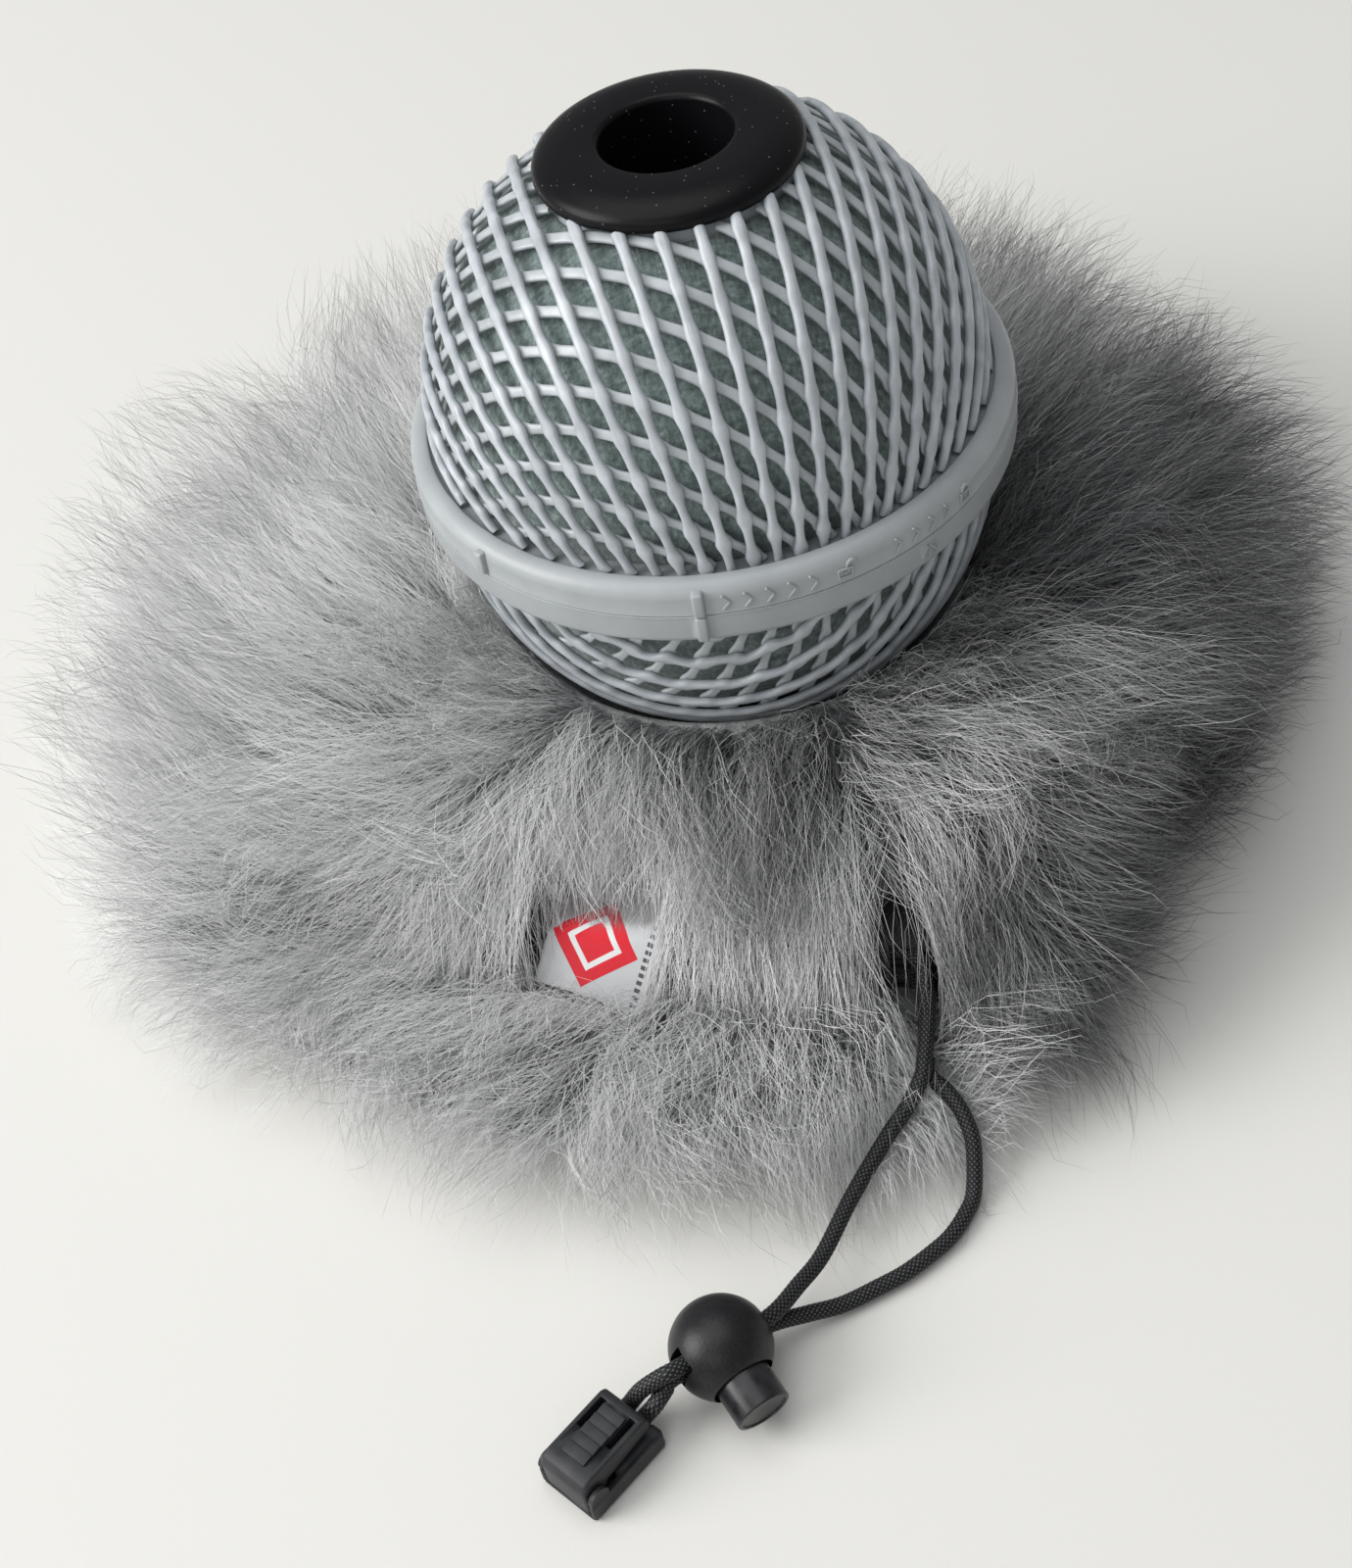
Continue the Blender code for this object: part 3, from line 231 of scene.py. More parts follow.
def smooth_route(points, spacing):
    """Points at an even spacing along a Catmull-Rom curve through the given points."""
    pts = [Vector(p) for p in points]
    pts = [2 * pts[0] - pts[1]] + pts + [2 * pts[-1] - pts[-2]]
    fine = []
    for a, b, c, d in zip(pts, pts[1:], pts[2:], pts[3:]):
        for k in range(24):
            t = k / 24
            fine.append(0.5 * (2 * b + (c - a) * t + (2 * a - 5 * b + 4 * c - d) * t ** 2
                               + (3 * b - a - 3 * c + d) * t ** 3))
    fine.append(pts[-2])
    fine = np.array([tuple(p) for p in fine])
    gone = np.concatenate(([0.0], np.cumsum(np.linalg.norm(np.diff(fine, axis=0), axis=1))))
    count = max(2, round(gone[-1] / spacing))
    wanted = np.linspace(0.0, gone[-1], count + 1)
    return [Vector([np.interp(w, gone, fine[:, k]) for k in range(3)]) for w in wanted]


def frames_along(route, up=None):
    """At each point of a route: the point, its side and its up direction, turning as little as possible."""
    made = []
    side = None
    for i, point in enumerate(route):
        ahead = route[min(i + 1, len(route) - 1)] - route[max(i - 1, 0)]
        ahead.normalize()
        if up is not None:
            lift = up(point)
            side = ahead.cross(lift).normalized()
        elif side is None:
            side = ahead.orthogonal().normalized()
        else:
            side = (side - ahead * side.dot(ahead)).normalized()
        made.append((point, side, side.cross(ahead).normalized()))
    return made


def swept_tube(bm, frames, sides, section, uv_layer):
    """A grid rolled into a tube along the frames. section(turn, k) gives its sideways and upward reach."""
    rings = len(frames) - 1
    grid = bmesh.ops.create_grid(bm, x_segments=sides, y_segments=rings, size=0.5)
    faces = {f for v in grid["verts"] for f in v.link_faces}
    for f in faces:
        for loop in f.loops:
            loop[uv_layer].uv = (loop.vert.co.x + 0.5, loop.vert.co.y + 0.5)
    for v in grid["verts"]:
        turn = v.co.x + 0.5
        k = round((v.co.y + 0.5) * rings)
        point, side, lift = frames[k]
        across, high = section(turn, k)
        v.co = point + side * across + lift * high
    bmesh.ops.remove_doubles(bm, verts=grid["verts"], dist=1e-7)
    ends = [e for f in faces if f.is_valid for e in f.edges if e.is_boundary]
    bmesh.ops.holes_fill(bm, edges=list(set(ends)), sides=0)


def add_piece(bm, name, mat, body, angle=None):
    """The finished bmesh becomes a piece that rides on a body."""
    bmesh.ops.recalc_face_normals(bm, faces=bm.faces[:])
    mesh = bpy.data.meshes.new(name)
    bm.to_mesh(mesh)
    bm.free()
    if angle is not None:
        mesh.shade_smooth()
        mesh.set_sharp_from_angle(angle=math.radians(angle))
    piece = bpy.data.objects.new(name, mesh)
    scene.collection.objects.link(piece)
    mesh.materials.append(mat)
    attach(piece, body)
    return piece


def stitch_height(turn, along):
    """Height of the braid, 0 to 1: one yarn lies over the other in every second diamond."""
    a = CORD_YARNS * (turn + along / CORD_LAY)
    b = CORD_YARNS * (turn - along / CORD_LAY)
    over = (math.floor(a) + math.floor(b)) % 2 == 0
    across, lengthwise = ((a % 1.0, b % 1.0) if over else (b % 1.0, a % 1.0))
    return max(0.0, 1.0 - abs(2 * across - 1) ** 2.4 - 0.45 * abs(2 * lengthwise - 1) ** 2)


cord_mat, cord_shader, cord_tree = new_material("cord_braid", (0.012, 0.012, 0.013), 0.45,
                                                Specular_IOR_Level=0.25, Sheen_Weight=0.05)
# The braid's colour follows the stitch height: a painted highlight on each stitch's crest, and painted shade in
# the hollows between stitches.
stitch = add_node(cord_tree, 'ShaderNodeAttribute', attribute_name="stitch")
colour_by(cord_tree, cord_shader, stitch.outputs["Fac"], (0.30, (0.0015, 0.0015, 0.002)),
          (0.72, (0.010, 0.0105, 0.012)), (0.93, (0.15, 0.155, 0.16)))
cord_fibre = texture(cord_tree, 'ShaderNodeTexNoise', source="UVMap", stretch=(160.0, 1100.0, 1.0), Scale=1.0,
                     Detail=2.0)
surface_bump(cord_tree, cord_shader, cord_fibre, 0.00006, 0.8)


def cord_route(side, free):
    """One cord from inside the hem, by its free stretch, through the lock and into the cord end."""
    height = MOUTH_HEIGHT + side * HEM_LOOP_R
    points = [mouth_point(CORD_IN_HEM, CORD_LEAVES_HEM, height),
              mouth_point(CORD_IN_HEM + 0.0003, CORD_LEAVES_HEM + 0.0032, height)]
    points += free
    points += [lock_place @ Vector((x, -side * CORD_STACK / 2, 0.0)) for x in (-0.0088, 0.0, 0.0086)]
    for middle, towards in zip(TAIL_MIDDLE, TAIL_SIDES):
        points.append(Vector(middle) + Vector(towards).normalized() * side * CORD_STACK / 2)
    points += [end_place @ Vector((x, side * 0.0017, 0.0041)) for x in (0.0084, 0.0054, -0.0020)]
    return smooth_route(points, CORD_STEP)


def braided(name, route):
    """A cord with its stitches in the mesh, and its length."""
    bm = bmesh.new()
    uv_layer = bm.loops.layers.uv.new("UVMap")
    gone = [0.0]
    for a, b in zip(route, route[1:]):
        gone.append(gone[-1] + (b - a).length)

    def section(turn, k):
        reach = CORD_D / 2 - CORD_STITCH_DEPTH * (1 - stitch_height(turn, gone[k]))
        return reach * math.cos(2 * math.pi * turn), reach * math.sin(2 * math.pi * turn)

    swept_tube(bm, frames_along(route), CORD_SIDES, section, uv_layer)
    # Each point keeps its stitch height, which the braid's colour turns into painted highlight and painted
    # shade.
    layer = bm.verts.layers.float.new("stitch")
    for v in bm.verts:
        uv = next((loop[uv_layer].uv for loop in v.link_loops), (0, 0))
        v[layer] = stitch_height(uv[0], uv[1] * gone[-1])
    piece = add_piece(bm, name, cord_mat, "cover", 60)
    return piece, gone[-1]


cords = {}
for name, side, free in (("drawcord_a", 1, CORD_A_FREE), ("drawcord_b", -1, CORD_B_FREE)):
    route = cord_route(side, free)
    piece, length = braided("braided_" + name, route)
    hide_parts(name)
    cords[name] = (piece, route, length)

# ---------------------------------------------------------------- outer net of the ball
# Each half of the ball has a basket of moulded plastic net. It is made flat and drawn down over a dome,
# so its strands stay evenly spaced from the pole and crowd together towards the ring.
PARTING_Z = 0.080
BALL_R = 0.0488
DOME_OFFSET = 0.0080
NET_REST = 0.0049            # the net stands on the ring's shelf, this far from the parting plane
NET_PITCH = {1: 0.00616, -1: 0.0069}      # upper net, lower net
NET_STEP = 0.0009
UPPER_OUTER_DIR = math.radians(-81.8)
LOWER_OUTER_DIR = math.radians(-8.0)
CROSSING = math.radians(54.8)
OUTER_STRAND = (0.00212, 0.00155)        # width and thickness
INNER_STRAND = (0.00215, 0.00085)
POLE_HOLE_R = 0.0218
NET_MID_R = BALL_R - 0.0011
NET_STRAND_SIDES = 10
CROSSING_WIDTH = 0.19        # reach of the thickening at each crossing, in pitches


def strand_material(name, tone):
    mat, shader, tree = new_material(name, tone, 0.34, Coat_Weight=0.12, Coat_Roughness=0.25)
    streaks = texture(tree, 'ShaderNodeTexNoise', source="UVMap", stretch=(9.0, 5.0, 1.0), Scale=1.0, Detail=3.0,
                      Roughness=0.6)
    cloud = texture(tree, 'ShaderNodeTexNoise', Scale=240.0, Detail=3.0)
    dark = tuple(0.80 * c for c in tone)
    light = tuple(min(1.0, 1.14 * c) for c in tone)
    colour_by(tree, shader, cloud, (0.30, dark), (0.70, light))
    surface_bump(tree, shader, streaks, 0.00010, 0.9)
    return mat


net_outer_mat = strand_material("basket_plastic", (0.405, 0.435, 0.465))
net_inner_mat = strand_material("basket_plastic_inner", (0.385, 0.415, 0.435))


def on_dome(flat, radius, half):
    """A point of the flat net laid on the dome: straight from the pole, then down the cylinder."""
    reach = flat.length
    heading = flat.normalized() if reach > 1e-9 else Vector((1.0, 0.0))
    angle = reach / NET_MID_R
    if angle <= math.pi / 2:
        out, up = radius * math.sin(angle), radius * math.cos(angle)
    else:
        out, up = radius, -(reach - NET_MID_R * math.pi / 2)
    return Vector((heading.x * out, heading.y * out, PARTING_Z + half * (DOME_OFFSET + up)))


def dome_normal(half):
    """The direction out of the dome at a point; level where the dome has become a cylinder."""
    centre = Vector((0.0, 0.0, PARTING_Z + half * DOME_OFFSET))

    def normal(point):
        away = point - centre
        if away.z * half < 0.0:
            away.z = 0.0
        return away.normalized()
    return normal


def net_family(bm, uv_layer, half, direction, radius, size, first, inner_hole, weave, square):
    """All parallel strands of one direction, each a flattened bead swept over the dome."""
    along = Vector((math.cos(direction), math.sin(direction)))
    across = Vector((-along.y, along.x))
    limit = NET_MID_R * math.pi / 2 + DOME_OFFSET - NET_REST - 0.0002
    pitch = NET_PITCH[half]
    offsets = [first + pitch * k for k in range(-40, 40)]
    for index, offset in enumerate(o for o in offsets if abs(o) < limit - 0.002):
        reach = math.sqrt(limit ** 2 - offset ** 2)
        stops = [(-reach, reach)]
        if abs(offset) < inner_hole:
            gap = math.sqrt(inner_hole ** 2 - offset ** 2)
            stops = [(-reach, -gap), (gap, reach)]
        for start, end in stops:
            count = max(3, round((end - start) / NET_STEP))
            flat = [along * (start + (end - start) * k / count) + across * offset
                    for k in range(count + 1)]
            line = [on_dome(p + across * weave(p, index), radius, half) for p in flat]
            phase = [crossing_share(p, direction, half) for p in flat]

            def section(turn, k):
                a = 2 * math.pi * turn
                bulge = math.exp(-(phase[k] / CROSSING_WIDTH) ** 2)
                crowd = min(1.0, max(0.0, flat[k].length / NET_MID_R - 0.75) / 0.6)
                wide = size[0] / 2 * (0.88 - 0.18 * crowd + (0.24 + 0.34 * crowd) * bulge)
                high = size[1] / 2 * (1.0 - 0.06 * bulge)
                c, s = math.cos(a), math.sin(a)
                return wide * math.copysign(abs(c) ** square, c), high * math.copysign(abs(s) ** square, s)

            swept_tube(bm, frames_along(line, dome_normal(half)), NET_STRAND_SIDES, section, uv_layer)


def crossing_share(flat, direction, half):
    """How far a flat point is from the nearest crossing with the other family, in pitches."""
    outer = UPPER_OUTER_DIR if half > 0 else LOWER_OUTER_DIR
    turn = CROSSING * half
    other = outer + turn if abs(direction - outer) < 1e-6 else outer
    first = FAMILY_FIRST[abs(direction - outer) >= 1e-6]
    away = (-math.sin(other) * flat.x + math.cos(other) * flat.y - first) / NET_PITCH[half]
    return away - round(away)


# Where the first strand lies across the flat net, for the outer family and for the inner one.
FAMILY_FIRST = {True: -0.01274, False: -0.0411}


def straight(flat, index):
    """The upper net's strands run true."""
    return 0.0


def drawn_in(flat, index):
    """The net buckles to and fro where it is drawn in towards the ring."""
    crowd = max(0.0, flat.length / NET_MID_R - 1.05)
    return 0.0008 * crowd * math.sin(flat.x * 510 + index * 2.1) * (0.4 + abs(flat.y) / 0.07)


for half, body, label in ((1, "upper_half", "upper"), (-1, "lower_half", "lower")):
    outer_dir = UPPER_OUTER_DIR if half > 0 else LOWER_OUTER_DIR
    inner_dir = outer_dir + CROSSING * half
    hole = POLE_HOLE_R * 1.02 if half > 0 else 0.0
    for layer, direction, radius, size, mat in (
            ("outer", outer_dir, BALL_R - OUTER_STRAND[1] / 2 - 0.0001, OUTER_STRAND, net_outer_mat),
            ("inner", inner_dir, BALL_R - 0.00150 - INNER_STRAND[1] / 2, INNER_STRAND, net_inner_mat)):
        bm = bmesh.new()
        uv_layer = bm.loops.layers.uv.new("UVMap")
        first = FAMILY_FIRST[layer == "outer"]
        net_family(bm, uv_layer, half, direction, radius, size, first, hole,
                   drawn_in if half < 0 else straight, 0.85 if layer == "outer" else 0.55)
        net = add_piece(bm, f"{label}_net_{layer}", mat, body, 60)
        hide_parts(f"{label}_basket_net")

# ---------------------------------------------------------------- felt liners
# Behind each net lies a moulded dome of grey-green felted foam, which slows the wind.
# Its short fibres lie every way, and it is cut off clean where it sits on the ring's shelf.
FELT_OUT_R = 0.0453
FELT = 0.0030
FELT_LUMP = 0.00018
felt_mat, felt_shader, felt_tree = new_material("foam_felt", (0.13, 0.16, 0.155), 0.95, Sheen_Weight=0.25,
                                                Sheen_Roughness=0.6)
felt_heights = [texture(felt_tree, 'ShaderNodeTexNoise', turn=(turn, 0.7 * turn, turn), stretch=stretch,
                        Scale=0.62, Detail=3.0, Roughness=0.6)
                for turn, stretch in ((0.5, (2600.0, 700.0, 1500.0)), (2.2, (800.0, 2400.0, 1300.0)))]


def maths(tree, operation, first, second=None):
    """A Math node on sockets or plain numbers."""
    node = tree.nodes.new('ShaderNodeMath')
    node.operation = operation
    for socket, value in zip(node.inputs, (first, second)):
        if isinstance(value, (int, float)):
            socket.default_value = value
        elif value is not None:
            tree.links.new(value, socket)
    return node.outputs[0]


felt_half = maths(felt_tree, 'MULTIPLY', maths(felt_tree, 'ADD', *felt_heights), 0.5)
colour_by(felt_tree, felt_shader, felt_half, (0.36, (0.07, 0.100, 0.097)), (0.52, (0.155, 0.205, 0.198)),
          (0.66, (0.27, 0.345, 0.332)))
surface_bump(felt_tree, felt_shader, felt_half, 0.00045)


def turned(bm, section, steps, base_z, closed=True, weld=1e-7):
    """A line of (radius, height) points turned once about the upright axis."""
    verts = [bm.verts.new((r, 0.0, base_z + h)) for r, h in section]
    pairs = zip(verts, verts[1:] + verts[:1]) if closed else zip(verts, verts[1:])
    edges = [bm.edges.new(pair) for pair in pairs]
    bmesh.ops.spin(bm, geom=verts + edges, cent=(0, 0, 0), axis=(0, 0, 1), angle=2 * math.pi,
                   steps=steps, use_merge=True, use_duplicate=False)
    bmesh.ops.remove_doubles(bm, verts=bm.verts[:], dist=weld)


def thicken(piece, thickness, offset):
    wall = piece.modifiers.new("wall", 'SOLIDIFY')
    wall.thickness = thickness
    wall.offset = offset


for half, body, label, hole in ((1, "upper_half", "upper", 0.0208), (-1, "lower_half", "lower", 0.0)):
    bm = bmesh.new()
    first = math.asin(hole / FELT_OUT_R)
    rim = [(FELT_OUT_R * math.sin(a), half * (DOME_OFFSET + FELT_OUT_R * math.cos(a)))
           for a in [first + (math.pi / 2 - first) * k / 30 for k in range(31)]]
    turned(bm, rim + [(FELT_OUT_R, half * NET_REST)], 96, PARTING_Z, closed=False, weld=1e-6)
    for v in bm.verts:
        lumps = noise.noise(v.co * 260) * FELT_LUMP
        v.co += Vector((v.co.x, v.co.y, 0.0)).normalized() * lumps if v.co.xy.length > 0.001 else Vector()
    liner = add_piece(bm, f"{label}_felt", felt_mat, body, 80)
    thicken(liner, FELT, -1.0)
    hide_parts(f"{label}_foam_liner")

# ---------------------------------------------------------------- bayonet ring
# Two tiers of satin grey plastic, one moulded on each half, meet in a fine parting line all the way round.
# Raised bars show when the halves line up, and embossed signs show which way they turn and lock.
RING_R = 0.0525
RING_TIER = 0.00585
RING_WALL_R = 0.0506
RING_LIP_R = 0.0490          # the wall's top and bottom edges lean in until they touch the nets
SHELF_R = 0.0436
SHELF_TOP = 0.0046
SPIGOT_OUT_R = 0.0502
SPIGOT_IN_R = 0.0489
RING_STEPS = 180
LUG_AZS = [math.radians(12.0 + 90.0 * k) for k in range(4)]
LUG_HALF = math.radians(2.5)
UNLOCK_TURN = math.radians(30.0)
LONG_BAR_AZ = math.radians(-97.8)
SHORT_BAR_AZ = math.radians(-141.6)
RING_FLAT = 0.0036           # the shelf and the tier's wall meet at this height
BAR = (0.0022, 0.0019)       # depth and width of the raised bars
SIGN_DEPTH = 0.0007
SIGN_WIDTH = 0.00042
LUG = (0.0020, 0.0043, 0.0010)
LUG_R = 0.0500
LUG_HEIGHT = 0.00095

ring_mat, ring_shader, ring_tree = new_material("ring_plastic", (0.36, 0.385, 0.40), 0.42, Coat_Weight=0.06,
                                                Coat_Roughness=0.35)
ring_cloud = texture(ring_tree, 'ShaderNodeTexNoise', Scale=120.0, Detail=4.0, Roughness=0.6)
colour_by(ring_tree, ring_shader, ring_cloud, (0.3, (0.30, 0.322, 0.335)), (0.7, (0.345, 0.367, 0.38)))
ring_satin = texture(ring_tree, 'ShaderNodeTexNoise', stretch=(260.0, 260.0, 900.0), Scale=6.0, Detail=2.0)
surface_bump(ring_tree, ring_shader, ring_satin, 0.00001, 0.6)


def corner_arc(centre, radius, first, last, count):
    """Points of a rounded corner in a section, as (radius, height)."""
    angles = [math.radians(first + (last - first) * k / count) for k in range(count + 1)]
    return [(centre[0] + radius * math.cos(a), centre[1] + radius * math.sin(a)) for a in angles]


def block(bm, size, place, bevel=0.0, segments=2):
    """A small block of moulded detail with rounded edges."""
    made = bmesh.ops.create_cube(bm, size=1.0, matrix=place @ Matrix.Diagonal((*size, 1.0)))
    if bevel:
        edges = list({e for v in made["verts"] for e in v.link_edges})
        bmesh.ops.bevel(bm, geom=edges, offset=bevel, segments=segments, profile=0.5,
                        affect='EDGES', material=-1)


def ring_spot(azimuth, height, out=0.0):
    """On the ring's outer face: local X outwards, local Y anticlockwise, local Z up."""
    turn = Matrix.Rotation(azimuth, 4, 'Z')
    return turn @ Matrix.Translation((RING_R + out, 0.0, PARTING_Z + height))


def cut_away(piece, cutter_bm):
    """Takes the cutter's shape out of a piece, once and for all."""
    mesh = bpy.data.meshes.new("cut")
    bmesh.ops.recalc_face_normals(cutter_bm, faces=cutter_bm.faces[:])
    cutter_bm.to_mesh(mesh)
    cutter_bm.free()
    tool = bpy.data.objects.new("cut", mesh)
    scene.collection.objects.link(tool)
    cut = piece.modifiers.new("cut", 'BOOLEAN')
    cut.operation = 'DIFFERENCE'
    cut.solver = 'EXACT'
    cut.use_self = True
    cut.object = tool
    bpy.context.view_layer.update()
    seen = piece.evaluated_get(bpy.context.evaluated_depsgraph_get())
    solid = bpy.data.meshes.new_from_object(seen)
    piece.modifiers.remove(cut)
    old = piece.data
    piece.data = solid
    solid.name = old.name
    bpy.data.meshes.remove(old)
    bpy.data.objects.remove(tool)
    bpy.data.meshes.remove(mesh)


upper_section = [(RING_WALL_R, 0.00008), (RING_WALL_R, RING_FLAT), (SHELF_R, RING_FLAT), (SHELF_R, SHELF_TOP),
                 (RING_LIP_R, SHELF_TOP)]
upper_section += corner_arc((RING_LIP_R + 0.0004, RING_TIER - 0.0004), 0.0004, 180, 95, 3)
upper_section += corner_arc((RING_R - 0.0026, RING_TIER - 0.0026), 0.0026, 90, 0, 9)
upper_section += [(RING_R, 0.00045)] + corner_arc((RING_R - 0.00005, 0.00022), 0.00014, 45, -90, 4)
lower_section = [(SPIGOT_IN_R, 0.0026), (SPIGOT_OUT_R, 0.0026), (SPIGOT_OUT_R, -0.00002)]
lower_section += corner_arc((RING_R + 0.00002, -0.00018), 0.00016, 90, -60, 5) + [(RING_R, -0.00045)]
lower_section += corner_arc((RING_R - 0.0014, -RING_TIER + 0.0014), 0.0014, 0, -90, 7)
lower_section += corner_arc((RING_LIP_R + 0.0004, -RING_TIER + 0.0004), 0.0004, -90, -180, 3)
lower_section += [(RING_LIP_R, -SHELF_TOP), (SHELF_R, -SHELF_TOP), (SHELF_R, -RING_FLAT),
                  (SPIGOT_IN_R, -RING_FLAT)]

bm = bmesh.new()
turned(bm, upper_section, RING_STEPS, PARTING_Z)
for az in LUG_AZS:
    place = Matrix.Rotation(az, 4, 'Z') @ Matrix.Translation((LUG_R, 0.0, PARTING_Z + LUG_HEIGHT))
    block(bm, LUG, place, 0.0002)
for azimuth, bar_height in ((LONG_BAR_AZ, 0.0048), (SHORT_BAR_AZ, 0.0044)):
    block(bm, (*BAR, bar_height), ring_spot(azimuth, 0.0025, -0.0002), 0.00045, 3)


def sign_stroke(azimuth, height, along, up, length, lean):
    """One embossed stroke: its middle (along, up) from the sign's middle, its length and its lean."""
    place = ring_spot(azimuth + along / RING_R, height + up) @ Matrix.Rotation(lean, 4, 'X')
    block(bm, (SIGN_DEPTH, length, SIGN_WIDTH), place, 0.00010, 1)


def padlock(azimuth, height, is_open):
    """An embossed padlock: a framed body and a bow, which is swung aside when it is open."""
    for along, up, length, lean in ((0, -0.0014, 0.0026, 0), (0, 0.0002, 0.0026, 0),
                                    (-0.0012, -0.0006, 0.0019, math.pi / 2),
                                    (0.0012, -0.0006, 0.0019, math.pi / 2),
                                    (0, -0.0006, 0.0007, math.pi / 2)):
        sign_stroke(azimuth, height, along, up, length, lean)
    shift = 0.0012 if is_open else 0.0
    for k in range(6):
        a = math.pi * (k + 0.5) / 6
        sign_stroke(azimuth, height, shift + 0.00085 * math.cos(a), 0.0006 + 0.0009 * math.sin(a),
                    0.00056, a + math.pi / 2)


for first, count in ((-93.0, 5), (-60.5, 4)):
    for k in range(count):
        for up, lean in ((0.00068, -0.85), (-0.00068, 0.85)):
            sign_stroke(math.radians(first + 3.9 * k), 0.0024, 0.0, up, 0.0020, lean)
padlock(math.radians(-71.5), 0.0026, True)
padlock(math.radians(-43.5), 0.0026, False)
ring_up = add_piece(bm, "ring_upper_tier", ring_mat, "upper_half", 35)
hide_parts("upper_ring")

bm = bmesh.new()
turned(bm, lower_section, RING_STEPS, PARTING_Z)
block(bm, (*BAR, 0.0050), ring_spot(LONG_BAR_AZ, -0.0026, -0.0002), 0.00045, 3)
for along, lean in ((0.0009, -0.95), (-0.0009, 0.95)):
    sign_stroke(math.radians(-54.0), -0.0026, along, 0.0, 0.0024, lean)
ring_low = add_piece(bm, "ring_lower_tier", ring_mat, "lower_half", 35)
slots = bmesh.new()
for az in LUG_AZS:
    for first, last, low, high in ((-LUG_HALF - 0.018, UNLOCK_TURN + LUG_HALF + 0.018, 0.00015, 0.00175),
                                   (UNLOCK_TURN - LUG_HALF - 0.018, UNLOCK_TURN + LUG_HALF + 0.018,
                                    0.00016, RING_FLAT)):
        corners = [(SPIGOT_IN_R - 0.0006, low), (SPIGOT_OUT_R + 0.0006, low),
                   (SPIGOT_OUT_R + 0.0006, high), (SPIGOT_IN_R - 0.0006, high)]
        turn = Matrix.Rotation(az + first, 4, 'Z')
        verts = [slots.verts.new(turn @ Vector((r, 0.0, PARTING_Z + h))) for r, h in corners]
        edges = [slots.edges.new(pair) for pair in zip(verts, verts[1:] + verts[:1])]
        bmesh.ops.spin(slots, geom=verts + edges, cent=(0, 0, 0), axis=(0, 0, 1), angle=last - first,
                       steps=8, use_merge=False, use_duplicate=False)
bmesh.ops.holes_fill(slots, edges=[e for e in slots.edges if e.is_boundary], sides=4)
cut_away(ring_low, slots)
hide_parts("lower_ring")

# ---------------------------------------------------------------- sealing band
# A band of black foam rubber stands inside the spigot and keeps wind out of the joint.
# It is cut from sheet and glued end to end, and only shows when the halves are apart.
SEAL_OUT_R, SEAL_IN_R = 0.0484, 0.0474       # the middles of its rounded corners
SEAL_HALF = 0.0031
SEAL_ROUNDING = 0.0002
seal_mat, seal_shader, seal_tree = new_material("seal_foam", (0.02, 0.02, 0.021), 0.9)
seal_pores_and_shade = texture(seal_tree, 'ShaderNodeTexVoronoi', out="Distance", Scale=2200.0)
surface_bump(seal_tree, seal_shader, seal_pores_and_shade, 0.00015)
# The pits of the pores are painted darker: painted shade in the pores.
colour_by(seal_tree, seal_shader, seal_pores_and_shade, (0.1, (0.008, 0.008, 0.008)), (0.6, (0.032, 0.032, 0.033)))
bm = bmesh.new()
seal_section = []
for radius, height, first in ((SEAL_OUT_R, SEAL_HALF, 0), (SEAL_IN_R, SEAL_HALF, 90),
                              (SEAL_IN_R, -SEAL_HALF, 180), (SEAL_OUT_R, -SEAL_HALF, -90)):
    seal_section += corner_arc((radius, height), SEAL_ROUNDING, first, first + 90, 3)
turned(bm, seal_section, 120, PARTING_Z)
seal = add_piece(bm, "sealing_band", seal_mat, "seal", 60)
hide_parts("ring_seal")

# ---------------------------------------------------------------- collar and rubber bush
# A plastic collar is moulded into the top of the net, and a soft black rubber bush is snapped into it.
# The bush grips the microphone's body, and its wide flange has a full round edge that takes a long highlight.
BUSH_TOP = 0.0550
BUSH_R = 0.0220
BUSH_BORE_R = 0.0108
COLLAR_R = 0.0203
COLLAR_IN_R = 0.0143
COLLAR_ROUNDING = 0.0003
BUSH_WAIST_R = 0.0140
BUSH_HEEL_R = 0.0175
bm = bmesh.new()
collar_section = [(COLLAR_IN_R, BUSH_TOP - 0.0080)]
collar_section += corner_arc((COLLAR_R, BUSH_TOP - 0.0077), COLLAR_ROUNDING, -90, 0, 2)
collar_section += corner_arc((COLLAR_R, BUSH_TOP - 0.0073), COLLAR_ROUNDING, 0, 90, 2)
collar_section += [(0.0200, BUSH_TOP - 0.0064)]
collar_section += corner_arc((0.0197, BUSH_TOP - 0.0038), COLLAR_ROUNDING, 0, 90, 2)
collar_section += [(COLLAR_IN_R, BUSH_TOP - 0.0035)]
turned(bm, collar_section, 120, PARTING_Z)
collar = add_piece(bm, "top_collar", net_outer_mat, "upper_half", 40)
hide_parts("bush_collar")

rubber_mat, rubber_shader, rubber_tree = new_material("bush_rubber", (0.004, 0.004, 0.005), 0.34,
                                                      Specular_IOR_Level=0.14)
dust = texture(rubber_tree, 'ShaderNodeTexVoronoi', out="Distance", Scale=620.0)
colour_by(rubber_tree, rubber_shader, dust, (0.06, (0.12, 0.12, 0.12)), (0.10, (0.004, 0.004, 0.005)))
rubber_skin = texture(rubber_tree, 'ShaderNodeTexNoise', Scale=1500.0, Detail=2.0)
surface_bump(rubber_tree, rubber_shader, rubber_skin, 0.00002, 0.7)

